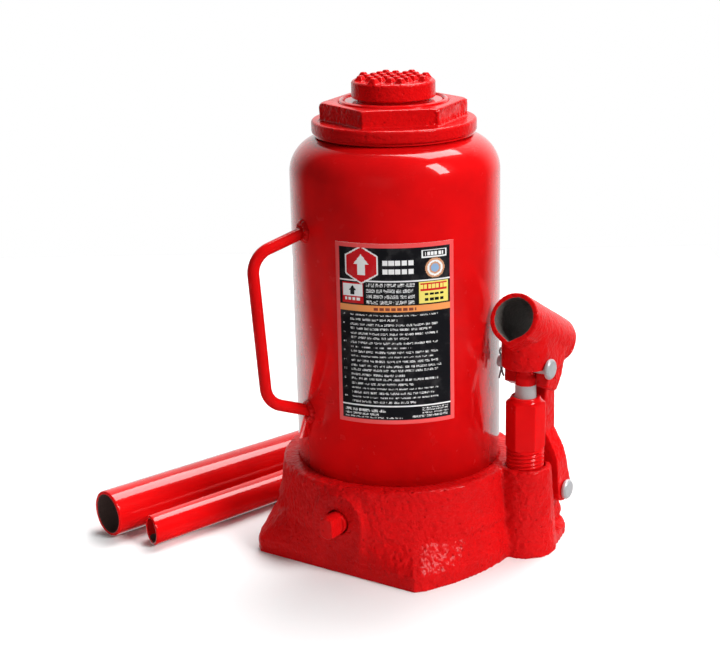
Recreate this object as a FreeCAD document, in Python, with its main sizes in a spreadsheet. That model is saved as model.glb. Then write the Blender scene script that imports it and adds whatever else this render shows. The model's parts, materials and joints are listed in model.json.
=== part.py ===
"""Twenty-ton class hydraulic bottle jack, drawn as a parametric assembly of separate parts.

Frame: origin on the floor under the lifting ram, +Z up, -Y towards the operator (release valve and
mouth of the handle socket), +X towards the pump.  All sizes are in millimetres and degrees.
"""
import FreeCAD, Part
import math
import os
import Sketcher
from FreeCAD import Placement, Rotation, Vector

DIMENSIONS = {
    # base casting
    "plate_height": 7.5,
    "plate_front": 62.4,
    "plate_front_half": 50.0,
    "plate_side_corner": 59.5,
    "plate_right": 67.0,
    "plate_left": 65.4,
    "cup_foot_radius": 63.4,
    "skirt_height": 23.0,
    "cup_top_radius": 60.6,
    "cup_rim_radius": 59.3,
    "cup_inner_radius": 52.75,
    "cup_rim_height": 45.7,
    "block_radius": 49.7,
    "block_height": 39.0,
    "tank_groove_floor": 35.0,
    "cylinder_seat": 31.0,
    "well_radius": 6.0,
    "well_floor": 20.0,
    "link_lug_half": 5.6,
    # oil ways and valves in the casting
    "passage_radius": 2.0,
    "pump_way_z": 13.0,
    "ball_radius": 3.0,
    "ball_room_radius": 3.6,
    "plug_radius": 5.0,
    "suction_x": 43.0,
    "suction_y": 9.0,
    "suction_seat": 26.0,
    "suction_ball_z": 22.0,
    "pressure_x": 22.0,
    "pressure_y": 4.5,
    "pressure_seat": 16.0,
    "relief_x": -20.0,
    "relief_seat_y": 32.0,
    "relief_z": 24.0,
    # reservoir
    "tank_radius": 52.6,
    "tank_wall": 2.6,
    "tank_bottom": 36.5,
    "tank_top": 213.2,
    "shoulder_radius": 18.0,
    "tank_mouth_radius": 38.2,
    "filler_height": 170.0,
    "filler_radius": 6.0,
    # top nut and gland
    "flange_radius": 41.0,
    "flange_bottom": 214.2,
    "flange_top": 220.6,
    "hex_radius": 37.0,
    "hex_top": 229.2,
    "skirt_radius": 38.0,
    "skirt_bottom": 196.0,
    "nut_shoulder": 210.0,
    # lifting cylinder and ram
    "cylinder_bore": 30.0,
    "cylinder_radius": 36.0,
    "cylinder_bottom": 32.0,
    "ram_radius": 25.0,
    "ram_bottom": 36.0,
    "ram_top": 229.6,
    "piston_head_radius": 29.95,
    "piston_head_top": 56.0,
    "seal_radius": 30.0,
    "running_gap": 0.05,
    # extension screw and saddle
    "screw_radius": 18.0,
    "screw_root_radius": 16.6,
    "thread_pitch": 4.0,
    "thread_bottom": 200.0,
    "screw_end": 134.0,
    "screw_stroke_clear": 22.0,
    "saddle_radius": 20.8,
    "saddle_bottom": 230.8,
    "saddle_face": 239.4,
    "saddle_top": 242.0,
    "bump_pitch": 5.8,
    "bump_base": 5.0,
    "bump_face": 2.2,
    # carry handle
    "handle_azimuth": 118.0,
    "handle_rod_radius": 3.0,
    "handle_top_foot": 169.2,
    "handle_top_reach": 80.3,
    "handle_top_corner": 160.9,
    "handle_low_foot": 77.0,
    "handle_low_reach": 75.2,
    "handle_low_corner": 85.2,
    "handle_bend": 12.0,
    "weld_radius": 6.2,
    "weld_depth": 5.0,
    # release valve
    "valve_x": 1.9,
    "valve_z": 27.3,
    "valve_face": 62.4,
    "valve_boss_radius": 14.6,
    "valve_boss_root": 21.0,
    "valve_boss_depth": 9.0,
    "valve_head_radius": 5.75,
    "valve_tang": 7.2,
    "valve_reach": 9.5,
    "valve_seat_depth": 25.8,
    "valve_ball_radius": 2.8,
    # pump
    "pump_x": 67.35,
    "pump_y": 13.5,
    "boss_top_radius": 13.6,
    "boss_foot_radius": 16.6,
    "boss_height": 46.0,
    "pump_thread_radius": 9.7,
    "pump_thread_root": 8.9,
    "pump_hex_radius": 10.15,
    "pump_hex_bottom": 55.0,
    "pump_hex_top": 80.6,
    "pump_collar_top": 82.6,
    "pump_bottom": 20.0,
    "piston_radius": 5.35,
    "piston_bottom": 36.0,
    # lever linkage
    "pin_height": 98.7,
    "pin_spacing": 13.0,
    "pin_radius": 3.0,
    "pin_head_radius": 5.2,
    "pin_head_height": 2.4,
    "pin_tail": 2.6,
    "plunger_pin_reach": 12.6,
    "link_pin_reach": 12.8,
    "split_pin_radius": 0.85,
    "socket_tilt": 28.2,
    "socket_radius": 12.85,
    "socket_bore": 10.15,
    "socket_lift": 18.5,
    "socket_mouth": 25.1,
    "socket_rear": 24.6,
    "socket_vee_in": 12.0,
    "socket_vee_out": 15.3,
    "clevis_rear": 18.05,
    "ear_half": 12.3,
    "ear_slot": 5.6,
    "ear_floor": 8.8,
    "fulcrum_y": 24.96,
    "fulcrum_z": 92.56,
    "link_half": 5.4,
    "fork_half": 12.4,
    "fork_slot": 6.2,
    "link_pin_y": 34.5,
    "link_pin_z": 27.0,
    # loose handle tubes
    "big_tube_radius": 12.4,
    "big_tube_bore": 10.4,
    "big_tube_length": 265.0,
    "big_tube_x": -129.2,
    "big_tube_y": -87.3,
    "big_tube_azimuth": 73.7,
    "small_tube_radius": 8.1,
    "small_tube_bore": 6.3,
    "small_tube_length": 230.0,
    "small_tube_x": -101.9,
    "small_tube_y": -86.5,
    "small_tube_azimuth": 75.0,
    "small_tube_cut_angle": 13.0,
    # label
    "label_thickness": 0.2,
    "label_bottom": 78.6,
    "label_height": 90.6,
    "label_start": -91.0,
    "label_sweep": 64.5,
}

doc = FreeCAD.newDocument("bottle_jack")
sheet = doc.addObject("Spreadsheet::Sheet", "dims")
for row, (alias, number) in enumerate(DIMENSIONS.items(), start=1):
    sheet.set("A%d" % row, alias)
    sheet.set("B%d" % row, repr(number))
    sheet.setAlias("B%d" % row, alias)
doc.recompute()

nodes = {}


class Size:
    """A number that remembers the spreadsheet formula it comes from."""

    def __init__(self, value, formula):
        self.value = value
        self.formula = formula

    def __add__(self, other):
        other = size(other)
        return Size(self.value + other.value, "(%s + %s)" % (self.formula, other.formula))

    def __sub__(self, other):
        other = size(other)
        return Size(self.value - other.value, "(%s - %s)" % (self.formula, other.formula))

    def __mul__(self, other):
        other = size(other)
        return Size(self.value * other.value, "(%s * %s)" % (self.formula, other.formula))

    def __truediv__(self, other):
        other = size(other)
        return Size(self.value / other.value, "(%s / %s)" % (self.formula, other.formula))

    def __radd__(self, other):
        return size(other) + self

    def __rsub__(self, other):
        return size(other) - self

    def __rmul__(self, other):
        return size(other) * self

    def __neg__(self):
        return size(0) - self


def size(number):
    """A plain number as a Size; a Size is handed back as it is."""
    if isinstance(number, Size):
        return number
    return Size(float(number), repr(float(number)))


class Names:
    """Gives each spreadsheet cell by its alias."""

    def __getattr__(self, alias):
        return Size(DIMENSIONS[alias], "dims." + alias)


dim = Names()

ALONG_X = Rotation(Vector(0, 1, 0), 90)
ALONG_Y = Rotation(Vector(1, 0, 0), -90)
ALONG_Z = Rotation()


def bind(item, **sizes):
    """Binds properties of an object to their formulas."""
    for name, number in sizes.items():
        item.setExpression(name, size(number).formula)


def place(item, at, rotation=ALONG_Z):
    """Sets an object's rotation and binds its position."""
    item.Placement = Placement(Vector(0, 0, 0), rotation)
    for axis, number in zip("xyz", at):
        item.setExpression(".Placement.Base." + axis, size(number).formula)
    return item


def cylinder(name, radius, height, at=(0, 0, 0), rotation=ALONG_Z):
    item = doc.addObject("Part::Cylinder", name)
    bind(item, Radius=radius, Height=height)
    return place(item, at, rotation)


def cone(name, low_radius, high_radius, height, at=(0, 0, 0), rotation=ALONG_Z):
    item = doc.addObject("Part::Cone", name)
    bind(item, Radius1=low_radius, Radius2=high_radius, Height=height)
    return place(item, at, rotation)


def box(name, low, high, rotation=ALONG_Z):
    """A block between two opposite corners, or of that size turned about its low corner."""
    item = doc.addObject("Part::Box", name)
    bind(item, Length=size(high[0]) - low[0], Width=size(high[1]) - low[1], Height=size(high[2]) - low[2])
    return place(item, low, rotation)


def ball(name, radius, at):
    item = doc.addObject("Part::Sphere", name)
    bind(item, Radius=radius)
    return place(item, at)


def torus(name, ring_radius, wire_radius, at, rotation=ALONG_Z):
    item = doc.addObject("Part::Torus", name)
    bind(item, Radius1=ring_radius, Radius2=wire_radius)
    return place(item, at, rotation)


def prism(name, corner_radius, height, at, turn=0):
    """A hexagonal bar along Z, its first corner turned from +X."""
    item = doc.addObject("Part::Prism", name)
    item.Polygon = 6
    bind(item, Circumradius=corner_radius, Height=height)
    return place(item, at, Rotation(Vector(0, 0, 1), turn))


def fuse(name, *items):
    item = doc.addObject("Part::MultiFuse", name)
    item.Shapes = list(items)
    return item


def common(name, *items):
    item = doc.addObject("Part::MultiCommon", name)
    item.Shapes = list(items)
    return item


def cut(name, solid, *tools):
    item = doc.addObject("Part::Cut", name)
    item.Base = solid
    item.Tool = tools[0] if len(tools) == 1 else fuse(name + "_tools", *tools)
    return item


def outline_sketch(body, name, plane_role, corners):
    """A closed sketch of straight lines whose corners are bound to the spreadsheet."""
    sketch = body.newObject("Sketcher::SketchObject", name)
    plane = next(item for item in body.Origin.OriginFeatures if item.Role == plane_role)
    sketch.AttachmentSupport = [(plane, "")]
    sketch.MapMode = "FlatFace"
    corners = [(size(across), size(up)) for across, up in corners]
    points = [Vector(across.value, up.value, 0) for across, up in corners]
    count = len(points)
    for index, point in enumerate(points):
        sketch.addGeometry(Part.LineSegment(point, points[(index + 1) % count]))
    for index in range(count):
        sketch.addConstraint(Sketcher.Constraint("Coincident", index, 2, (index + 1) % count, 1))
    for index, (across, up) in enumerate(corners):
        for kind, axis, number in (("DistanceX", -2, across), ("DistanceY", -1, up)):
            if number.value == 0:
                sketch.addConstraint(Sketcher.Constraint("PointOnObject", index, 1, axis))
                continue
            place_at = sketch.addConstraint(Sketcher.Constraint(kind, -1, 1, index, 1, number.value))
            sketch.setExpression("Constraints[%d]" % place_at, number.formula)
    return sketch


def turned(name, corners, at=(0, 0, 0), rotation=ALONG_Z):
    """A body turned about its own Z axis from (radius, height) corners."""
    body = doc.addObject("PartDesign::Body", name)
    sketch = outline_sketch(body, name + "_profile", "XZ_Plane", corners)
    turn = body.newObject("PartDesign::Revolution", name + "_turn")
    turn.Profile = sketch
    turn.ReferenceAxis = (sketch, ["V_Axis"])
    turn.Angle = 360
    body.Tip = turn
    return place(body, at, rotation)


def slab(name, corners, plane_role, thickness, at=(0, 0, 0), rotation=ALONG_Z, midplane=True):
    """A body padded from an outline, evenly both sides of its plane unless midplane is off."""
    body = doc.addObject("PartDesign::Body", name)
    sketch = outline_sketch(body, name + "_outline", plane_role, corners)
    pad = body.newObject("PartDesign::Pad", name + "_pad")
    pad.Profile = sketch
    pad.Midplane = midplane
    bind(pad, Length=thickness)
    body.Tip = pad
    return place(body, at, rotation)


def rod(name, points, radius):
    """A bar swept along a wire of straight runs and arcs."""
    path = doc.addObject("Part::Feature", name + "_path")
    path.Shape = Part.Wire([edge.toShape() for edge in points])
    start = path.Shape.Edges[0]
    along = start.tangentAt(start.FirstParameter)
    section = doc.addObject("Part::Circle", name + "_section")
    section.Placement = Placement(start.valueAt(start.FirstParameter), Rotation(Vector(0, 0, 1), along))
    bind(section, Radius=radius)
    doc.recompute()
    sweep = doc.addObject("Part::Sweep", name + "_bar")
    sweep.Sections = [section]
    sweep.Spine = (path, ["Edge%d" % number for number in range(1, len(path.Shape.Edges) + 1)])
    sweep.Solid = True
    sweep.Frenet = True
    return sweep


def bent_path(corners, radius):
    """Straight runs between corners, each inner corner rounded by an arc."""
    edges = []
    start = corners[0]
    for before, corner, after in zip(corners, corners[1:], corners[2:]):
        arrive = (corner - before).normalize()
        leave = (after - corner).normalize()
        half = arrive.getAngle(leave) / 2
        reach = radius * math.tan(half)
        first = corner - arrive * reach
        last = corner + leave * reach
        bisector = (leave - arrive).normalize()
        middle = corner + bisector * (radius / math.cos(half) - radius)
        edges.append(Part.LineSegment(start, first))
        edges.append(Part.Arc(first, middle, last))
        start = last
    edges.append(Part.LineSegment(start, corners[-1]))
    return edges


def node(name, item):
    """Registers a finished part under its label."""
    item.Label = name
    nodes[name] = item
    return item


def plate_wire(height):
    """The foot plate's outline at a height: bowed sides, straight front and back, clipped corners."""
    half = dim.plate_front_half.value
    corner = dim.plate_side_corner.value
    front = dim.plate_front.value
    clip = 3.0
    right_back = Vector(half, corner, height)
    back_right = Vector(half - clip, front, height)
    back_left = Vector(clip - half, front, height)
    left_back = Vector(-half, corner, height)
    left_front = Vector(-half, -corner, height)
    front_left = Vector(clip - half, -front, height)
    front_right = Vector(half - clip, -front, height)
    right_front = Vector(half, -corner, height)
    edges = [
        Part.Arc(right_front, Vector(dim.plate_right.value, 0, height), right_back),
        Part.LineSegment(right_back, back_right),
        Part.LineSegment(back_right, back_left),
        Part.LineSegment(back_left, left_back),
        Part.Arc(left_back, Vector(-dim.plate_left.value, 0, height), left_front),
        Part.LineSegment(left_front, front_left),
        Part.LineSegment(front_left, front_right),
        Part.LineSegment(front_right, right_front),
    ]
    return Part.Wire([edge.toShape() for edge in edges])


def skirt_ring():
    """The circle just inside the cup where the sloping skirt ends, split to match the plate's outline."""
    corners = [vertex.Point for vertex in plate_wire(0).OrderedVertexes]
    angles = [math.atan2(point.y, point.x) for point in corners]
    radius = dim.cup_foot_radius.value - 1.1
    height = dim.skirt_height.value

    def spot(angle):
        return Vector(radius * math.cos(angle), radius * math.sin(angle), height)

    edges = []
    for first, last in zip(angles, angles[1:] + angles[:1]):
        if last < first:
            last += 2 * math.pi
        edges.append(Part.Arc(spot(first), spot((first + last) / 2), spot(last)).toShape())
    return Part.Wire(edges)


def extruded(name, face, height):
    """A flat face raised straight up."""
    item = doc.addObject("Part::Extrusion", name)
    item.Base = face
    item.Dir = Vector(0, 0, 1)
    item.Solid = True
    bind(item, LengthFwd=height)
    return item


def base_casting():
    """Foot plate, tank cup, pump boss, link lug and valve boss in one casting, with its oil ways."""
    plate = doc.addObject("Part::Feature", "plate_outline")
    plate.Shape = Part.Face(plate_wire(0))
    foot = extruded("foot_plate", plate, dim.plate_height)
    trim = extruded("plate_prism", plate, dim.cup_rim_height)
    skirt = doc.addObject("Part::Feature", "plate_skirt")
    skirt.Shape = Part.makeLoft([plate_wire(dim.plate_height.value), skirt_ring()], True, True)

    rim_step = 1.4
    inner_chamfer = 0.6
    cup = turned("cup_wall", [
        (0, 0),
        (dim.cup_foot_radius, 0),
        (dim.cup_foot_radius, dim.skirt_height - 1),
        (dim.cup_top_radius, dim.cup_rim_height - rim_step),
        (dim.cup_rim_radius, dim.cup_rim_height),
        (dim.cup_inner_radius + inner_chamfer, dim.cup_rim_height),
        (dim.cup_inner_radius, dim.cup_rim_height - inner_chamfer),
        (dim.cup_inner_radius, dim.tank_groove_floor),
        (0, dim.tank_groove_floor),
    ])
    chest = cone("valve_boss_round", dim.valve_boss_radius, dim.valve_boss_root, dim.valve_boss_depth,
                 at=(dim.valve_x, -dim.valve_face, dim.valve_z), rotation=ALONG_Y)
    pillar = slab("valve_boss_pillar", [
        (-dim.valve_boss_radius, -dim.valve_face),
        (dim.valve_boss_radius, -dim.valve_face),
        (dim.valve_boss_root, -dim.valve_face + dim.valve_boss_depth),
        (-dim.valve_boss_root, -dim.valve_face + dim.valve_boss_depth),
    ], "XY_Plane", dim.valve_z, at=(dim.valve_x, 0, 0), midplane=False)
    bowl = common("cup_on_plate", cup, trim)
    chest_on_plate = common("valve_boss_on_plate", fuse("valve_boss", chest, pillar), trim)

    boss_chamfer = 1.0
    boss = cone("pump_boss", dim.boss_foot_radius, dim.boss_top_radius, dim.boss_height - boss_chamfer,
                at=(dim.pump_x, dim.pump_y, 0))
    boss_cap = cone("pump_boss_cap", dim.boss_top_radius, dim.boss_top_radius - boss_chamfer, boss_chamfer,
                    at=(dim.pump_x, dim.pump_y, dim.boss_height - boss_chamfer))
    web_half = 13.5
    web = box("pump_web", (dim.cup_inner_radius + 2.5, dim.pump_y - web_half, 0),
              (dim.pump_x, dim.pump_y + web_half, dim.cup_rim_height - 4))
    toe_height = 5.5
    toe = slab("pump_toe", [
        (60, -6), (66.8, -3.5), (69.5, 0), (79.9, 6.8), (81.4, 22.4), (78, 40), (73.5, 46), (60, 46),
    ], "XY_Plane", toe_height, midplane=False)
    lug_left = dim.pump_x - dim.link_lug_half
    lug_right = dim.pump_x + dim.link_lug_half
    lug_back = 43
    lug = box("link_lug", (lug_left, dim.pump_y + 6, 0), (lug_right, lug_back, dim.link_pin_z))
    lug_crown = cylinder("link_lug_crown", 8, 2 * dim.link_lug_half,
                         at=(lug_left, dim.link_pin_y, dim.link_pin_z), rotation=ALONG_X)
    lug_heel = cylinder("link_lug_heel", 5, 2 * dim.link_lug_half, at=(lug_left, lug_back - 2, 10.5),
                        rotation=ALONG_X)
    outside = fuse("casting_outside", foot, bowl, skirt, chest_on_plate, boss, boss_cap, web, toe,
                   lug, lug_crown, lug_heel)
    return node("base_casting", cut(
        "base_casting", outside, *casting_recesses(), *link_rooms(), *release_ways(), *pump_ways(),
        *relief_ways(),
    ))


def casting_recesses():
    """Room for the tank, the lifting cylinder and the pump in the base casting."""
    above = dim.boss_height + 5
    pump_floor = 18
    return [
        turned("tank_groove", [
            (dim.block_radius, dim.tank_groove_floor),
            (dim.cup_inner_radius, dim.tank_groove_floor),
            (dim.cup_inner_radius, above),
            (0, above),
            (0, dim.block_height),
            (dim.block_radius, dim.block_height),
        ]),
        cylinder("cylinder_recess", dim.cylinder_radius + 0.3, above - dim.cylinder_seat,
                 at=(0, 0, dim.cylinder_seat)),
        cylinder("pressure_well", dim.well_radius, above - dim.well_floor, at=(0, 0, dim.well_floor)),
        cylinder("pump_hole", dim.pump_thread_radius + 0.1, above - pump_floor,
                 at=(dim.pump_x, dim.pump_y, pump_floor)),
        cylinder("pump_sump", 5, 12, at=(dim.pump_x, dim.pump_y, pump_floor - 8)),
    ]


def link_rooms():
    """Clearance in the casting round the link's fork, its crotch and the lower pin's split pin."""
    front = dim.pump_y + 8.5
    back = 60
    prong_floor = 19.2
    above = 60
    left = dim.pump_x - dim.link_lug_half
    right = dim.pump_x + dim.link_lug_half
    return [
        box("prong_room_left", (left - 7.4, front, prong_floor), (left, back, above)),
        box("prong_room_right", (right, front, prong_floor), (right + 16, back, above)),
        box("crotch_room", (left - 0.1, dim.pump_y + 11.4, 38.5), (right + 0.1, back, above)),
        box("split_pin_room", (left - 10.2, dim.link_pin_y - 5.5, prong_floor - 2.2),
            (left - 7.3, dim.link_pin_y + 7.5, 38)),
        cylinder("link_pin_hole", dim.pin_radius + 0.02, 40,
                 at=(dim.pump_x - 20, dim.link_pin_y, dim.link_pin_z), rotation=ALONG_X),
    ]


def release_ways():
    """Release valve's bore and seat, the way in from the pressure well and the way out to the tank."""
    seat_y = dim.valve_seat_depth - dim.valve_face
    thread_end = 19
    return [
        cylinder("valve_hole", dim.valve_head_radius + 0.35, thread_end + 1,
                 at=(dim.valve_x, -dim.valve_face - 1, dim.valve_z), rotation=ALONG_Y),
        cylinder("valve_cavity", 4.4, dim.valve_seat_depth - thread_end + 0.5,
                 at=(dim.valve_x, thread_end - 0.5 - dim.valve_face, dim.valve_z), rotation=ALONG_Y),
        cylinder("release_way", dim.passage_radius, -seat_y + 1, at=(dim.valve_x, seat_y - 1, dim.valve_z),
                 rotation=ALONG_Y),
        cylinder("return_way", dim.passage_radius, dim.block_height + 1 - dim.valve_z,
                 at=(dim.valve_x, seat_y - 3.6, dim.valve_z)),
    ]


def pump_ways():
    """Suction and pressure valve rooms and the way that joins both to the pump."""
    start = Vector(dim.pressure_x.value - 1, dim.pressure_y.value - 0.2, 0)
    to_pump = Vector(dim.pump_x.value, dim.pump_y.value, 0) - start
    plug_depth = 8
    return [
        cylinder("suction_thread", dim.plug_radius, plug_depth + 0.1, at=(dim.suction_x, dim.suction_y, -0.1)),
        cylinder("suction_room", dim.ball_room_radius, dim.suction_seat - plug_depth + 0.1,
                 at=(dim.suction_x, dim.suction_y, plug_depth - 0.1)),
        cylinder("suction_hole", dim.passage_radius, dim.block_height + 2 - dim.suction_seat,
                 at=(dim.suction_x, dim.suction_y, dim.suction_seat - 1)),
        cylinder("pressure_room", dim.ball_room_radius, dim.cylinder_seat + 1 - dim.pressure_seat,
                 at=(dim.pressure_x, dim.pressure_y, dim.pressure_seat)),
        cylinder("pressure_hole", dim.passage_radius, dim.pressure_seat - dim.pump_way_z + 2,
                 at=(dim.pressure_x, dim.pressure_y, dim.pump_way_z - 1)),
        cylinder("pump_way", dim.passage_radius - 0.2, to_pump.Length, at=(start.x, start.y, dim.pump_way_z),
                 rotation=Rotation(Vector(0, 0, 1), to_pump)),
    ]


def relief_ways():
    """Overload valve's room and thread, its inlet from the pressure well and its return to the tank."""
    seat_y = dim.relief_seat_y
    bend_y = seat_y.value - 3
    towards = Vector(dim.relief_x.value, bend_y, 0)
    thread_start = 12
    return [
        cylinder("relief_thread", dim.plug_radius, 24, at=(dim.relief_x, seat_y + thread_start, dim.relief_z),
                 rotation=ALONG_Y),
        cylinder("relief_room", dim.ball_room_radius, thread_start + 0.5, at=(dim.relief_x, seat_y, dim.relief_z),
                 rotation=ALONG_Y),
        cylinder("relief_inlet", dim.passage_radius, 5, at=(dim.relief_x, seat_y - 4, dim.relief_z),
                 rotation=ALONG_Y),
        cylinder("relief_way", dim.passage_radius - 0.2, towards.Length, at=(0, 0, dim.relief_z),
                 rotation=Rotation(Vector(0, 0, 1), towards)),
        cylinder("relief_return", dim.passage_radius - 0.2, dim.block_height + 1 - dim.relief_z,
                 at=(dim.relief_x, seat_y + 7, dim.relief_z)),
    ]


def check_valves():
    """Suction, pressure and overload valves in the base, each with its ball."""
    suction = (dim.suction_x, dim.suction_y)
    node("suction_ball", ball("suction_ball", dim.ball_radius, (*suction, dim.suction_ball_z)))
    plug_top = 8
    plug = cylinder("suction_plug_blank", dim.plug_radius - 0.02, plug_top - 0.6, at=(*suction, 0.6))
    stem = cylinder("suction_plug_stem", 2, dim.suction_ball_z - dim.ball_radius - plug_top,
                    at=(*suction, plug_top - 0.02))
    plug_hex = prism("suction_plug_hex", 2.9, 4, at=(*suction, 0))
    node("suction_plug", cut("suction_plug", fuse("suction_plug_body", plug, stem), plug_hex))

    pressure = (dim.pressure_x, dim.pressure_y)
    ball_lift = 2.3
    ball_z = dim.pressure_seat + ball_lift
    node("pressure_ball", ball("pressure_ball", dim.ball_radius, (*pressure, ball_z)))
    spring_low = ball_z + dim.ball_radius + 0.6
    retainer_low = dim.cylinder_seat - 3.6
    spring = coil("pressure_spring", 2.6, 0.4, (retainer_low - 0.5 - spring_low).value, 5)
    node("pressure_spring", place(spring, (*pressure, spring_low)))
    retainer = cylinder("pressure_retainer_blank", dim.ball_room_radius - 0.02, 3.4, at=(*pressure, retainer_low))
    retainer_hole = cylinder("pressure_retainer_hole", 1.4, 6, at=(*pressure, retainer_low - 1))
    node("pressure_retainer", cut("pressure_retainer", retainer, retainer_hole))

    def relief(depth):
        return (dim.relief_x, dim.relief_seat_y + depth, dim.relief_z)

    node("overload_ball", ball("overload_ball", dim.ball_radius, relief(ball_lift)))
    spring_start = 5.9
    spring_length = 7.5
    spring = coil("overload_spring", 2.6, 0.45, spring_length, 5)
    node("overload_spring", place(spring, relief(spring_start), ALONG_Y))
    screw_start = spring_start + spring_length + 0.6
    screw_length = 7
    screw = cylinder("overload_screw_blank", dim.plug_radius - 0.02, screw_length, at=relief(screw_start),
                     rotation=ALONG_Y)
    slot_half = 0.7
    slot_y = dim.relief_seat_y + screw_start + screw_length - 1.5
    slot = box("overload_screw_slot", (dim.relief_x - 6, slot_y, dim.relief_z - slot_half),
               (dim.relief_x + 6, slot_y + 3, dim.relief_z + slot_half))
    node("overload_screw", cut("overload_screw", screw, slot))
    cap_start = screw_start + screw_length + 0.6
    cap = cylinder("overload_cap_blank", dim.plug_radius - 0.02, 4.6, at=relief(cap_start), rotation=ALONG_Y)
    cap_hex = place(prism("overload_cap_hex", 3.2, 6, at=(0, 0, 0)), relief(cap_start + 2.2), ALONG_Y)
    node("overload_cap", cut("overload_cap", cap, cap_hex))


def coil(name, ring_radius, wire_radius, height, turns):
    """A round-wire compression spring standing on the origin about Z."""
    helix = Part.makeHelix(height / turns, height, ring_radius)
    start = helix.Edges[0]
    along = start.tangentAt(start.FirstParameter)
    section = Part.Wire([Part.Circle(Vector(ring_radius, 0, 0), along, wire_radius).toShape()])
    item = doc.addObject("Part::Feature", name)
    item.Shape = Part.Wire(helix.Edges).makePipeShell([section], True, True)
    return item


def reservoir():
    """Tank shell with a rolled shoulder, its gaskets and the filler plug."""
    radius = dim.tank_radius.value
    wall = dim.tank_wall.value
    top = dim.tank_top.value
    bend = dim.shoulder_radius.value
    mouth = dim.tank_mouth_radius.value
    low = dim.tank_bottom.value
    crown_drop = 0.6
    turn_angle = math.radians(72)
    centre = Vector(radius - bend, 0, top - crown_drop - bend)
    inner_bend = bend - wall

    def on_bend(span, angle):
        return centre + Vector(span * math.cos(angle), 0, span * math.sin(angle))

    outer_end = on_bend(bend, turn_angle)
    inner_end = on_bend(inner_bend, turn_angle)
    profile = [
        Part.LineSegment(Vector(radius, 0, low), Vector(radius, 0, centre.z)),
        Part.Arc(Vector(radius, 0, centre.z), on_bend(bend, turn_angle / 2), outer_end),
        Part.LineSegment(outer_end, Vector(mouth, 0, top)),
        Part.LineSegment(Vector(mouth, 0, top), Vector(mouth, 0, top - wall)),
        Part.LineSegment(Vector(mouth, 0, top - wall), inner_end),
        Part.Arc(inner_end, on_bend(inner_bend, turn_angle / 2), Vector(radius - wall, 0, centre.z)),
        Part.LineSegment(Vector(radius - wall, 0, centre.z), Vector(radius - wall, 0, low)),
        Part.LineSegment(Vector(radius - wall, 0, low), Vector(radius, 0, low)),
    ]
    section = doc.addObject("Part::Feature", "tank_section")
    section.Shape = Part.Face(Part.Wire([edge.toShape() for edge in profile]))
    shell = doc.addObject("Part::Revolution", "tank_shell")
    shell.Source = section
    shell.Axis = Vector(0, 0, 1)
    shell.Angle = 360
    shell.Solid = True
    filler = cylinder("filler_hole", dim.filler_radius, 12, at=(0, dim.tank_radius - 8, dim.filler_height),
                      rotation=ALONG_Y)
    node("reservoir_tank", cut("reservoir_tank", shell, filler))
    node("tank_bottom_gasket", turned("tank_bottom_gasket", [
        (dim.tank_radius - dim.tank_wall, dim.tank_groove_floor),
        (dim.tank_radius, dim.tank_groove_floor),
        (dim.tank_radius, dim.tank_bottom),
        (dim.tank_radius - dim.tank_wall, dim.tank_bottom),
    ]))
    node("tank_top_gasket", turned("tank_top_gasket", [
        (dim.skirt_radius + 0.1, dim.tank_top),
        (dim.flange_radius - 1.2, dim.tank_top),
        (dim.flange_radius - 1.2, dim.flange_bottom),
        (dim.skirt_radius + 0.1, dim.flange_bottom),
    ]))
    node("filler_plug", turned("filler_plug", [
        (0, -4.4),
        (4.6, -4.4),
        (6.6, -3.7),
        (dim.filler_radius - 0.05, -3.3),
        (dim.filler_radius - 0.05, 0.4),
        (9, 0.4),
        (9, 1.4),
        (7.4, 3.2),
        (0, 3.2),
    ], at=(0, dim.tank_radius, dim.filler_height), rotation=ALONG_Y))


def top_nut():
    """Flanged hexagon nut that clamps the tank and guides the ram, with its seals."""
    flange = turned("nut_flange", [
        (0, dim.flange_bottom),
        (dim.flange_radius - 0.6, dim.flange_bottom),
        (dim.flange_radius, dim.flange_bottom + 0.6),
        (dim.flange_radius, dim.flange_top - 0.8),
        (dim.flange_radius - 0.8, dim.flange_top),
        (0, dim.flange_top),
    ])
    hexagon = prism("nut_hexagon", dim.hex_radius, dim.hex_top - dim.flange_top,
                    at=(0, 0, dim.flange_top), turn=38)
    chamfer = turned("nut_chamfer", [
        (0, dim.flange_top - 1),
        (dim.hex_radius + 1, dim.flange_top - 1),
        (dim.hex_radius + 1, dim.hex_top - 1.8),
        (dim.hex_radius - 1.8, dim.hex_top),
        (0, dim.hex_top),
    ])
    skirt = cylinder("nut_skirt", dim.skirt_radius, dim.flange_bottom - dim.skirt_bottom,
                     at=(0, 0, dim.skirt_bottom))
    blank = fuse("nut_blank", flange, common("nut_hex_end", hexagon, chamfer), skirt)
    bore = turned("nut_bore", [
        (0, dim.skirt_bottom - 1),
        (dim.cylinder_radius + 0.02, dim.skirt_bottom - 1),
        (dim.cylinder_radius + 0.02, dim.nut_shoulder),
        (dim.ram_radius + dim.running_gap, dim.nut_shoulder),
        (dim.ram_radius + dim.running_gap, 213),
        (28, 213),
        (28, 217),
        (dim.ram_radius + dim.running_gap, 217),
        (dim.ram_radius + dim.running_gap, 222.5),
        (28, 222.5),
        (28, 226),
        (27, dim.hex_top + 0.2),
        (0, dim.hex_top + 0.2),
    ])
    node("top_nut", cut("top_nut", blank, bore))
    node("gland_o_ring", turned("gland_o_ring", [
        (dim.ram_radius + dim.running_gap, 213.6),
        (27.4, 213.2), (28, 213.8), (28, 216.2), (27.4, 216.8), (dim.ram_radius + dim.running_gap, 216.4),
    ]))
    node("ram_wiper", turned("ram_wiper", [
        (dim.ram_radius + dim.running_gap, 223),
        (27.6, 222.6),
        (28, 223),
        (28, 226),
        (26.8, dim.hex_top + 0.7),
        (25.6, dim.hex_top + 1.1),
        (dim.ram_radius + dim.running_gap, dim.hex_top + 0.3),
    ]))


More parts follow.
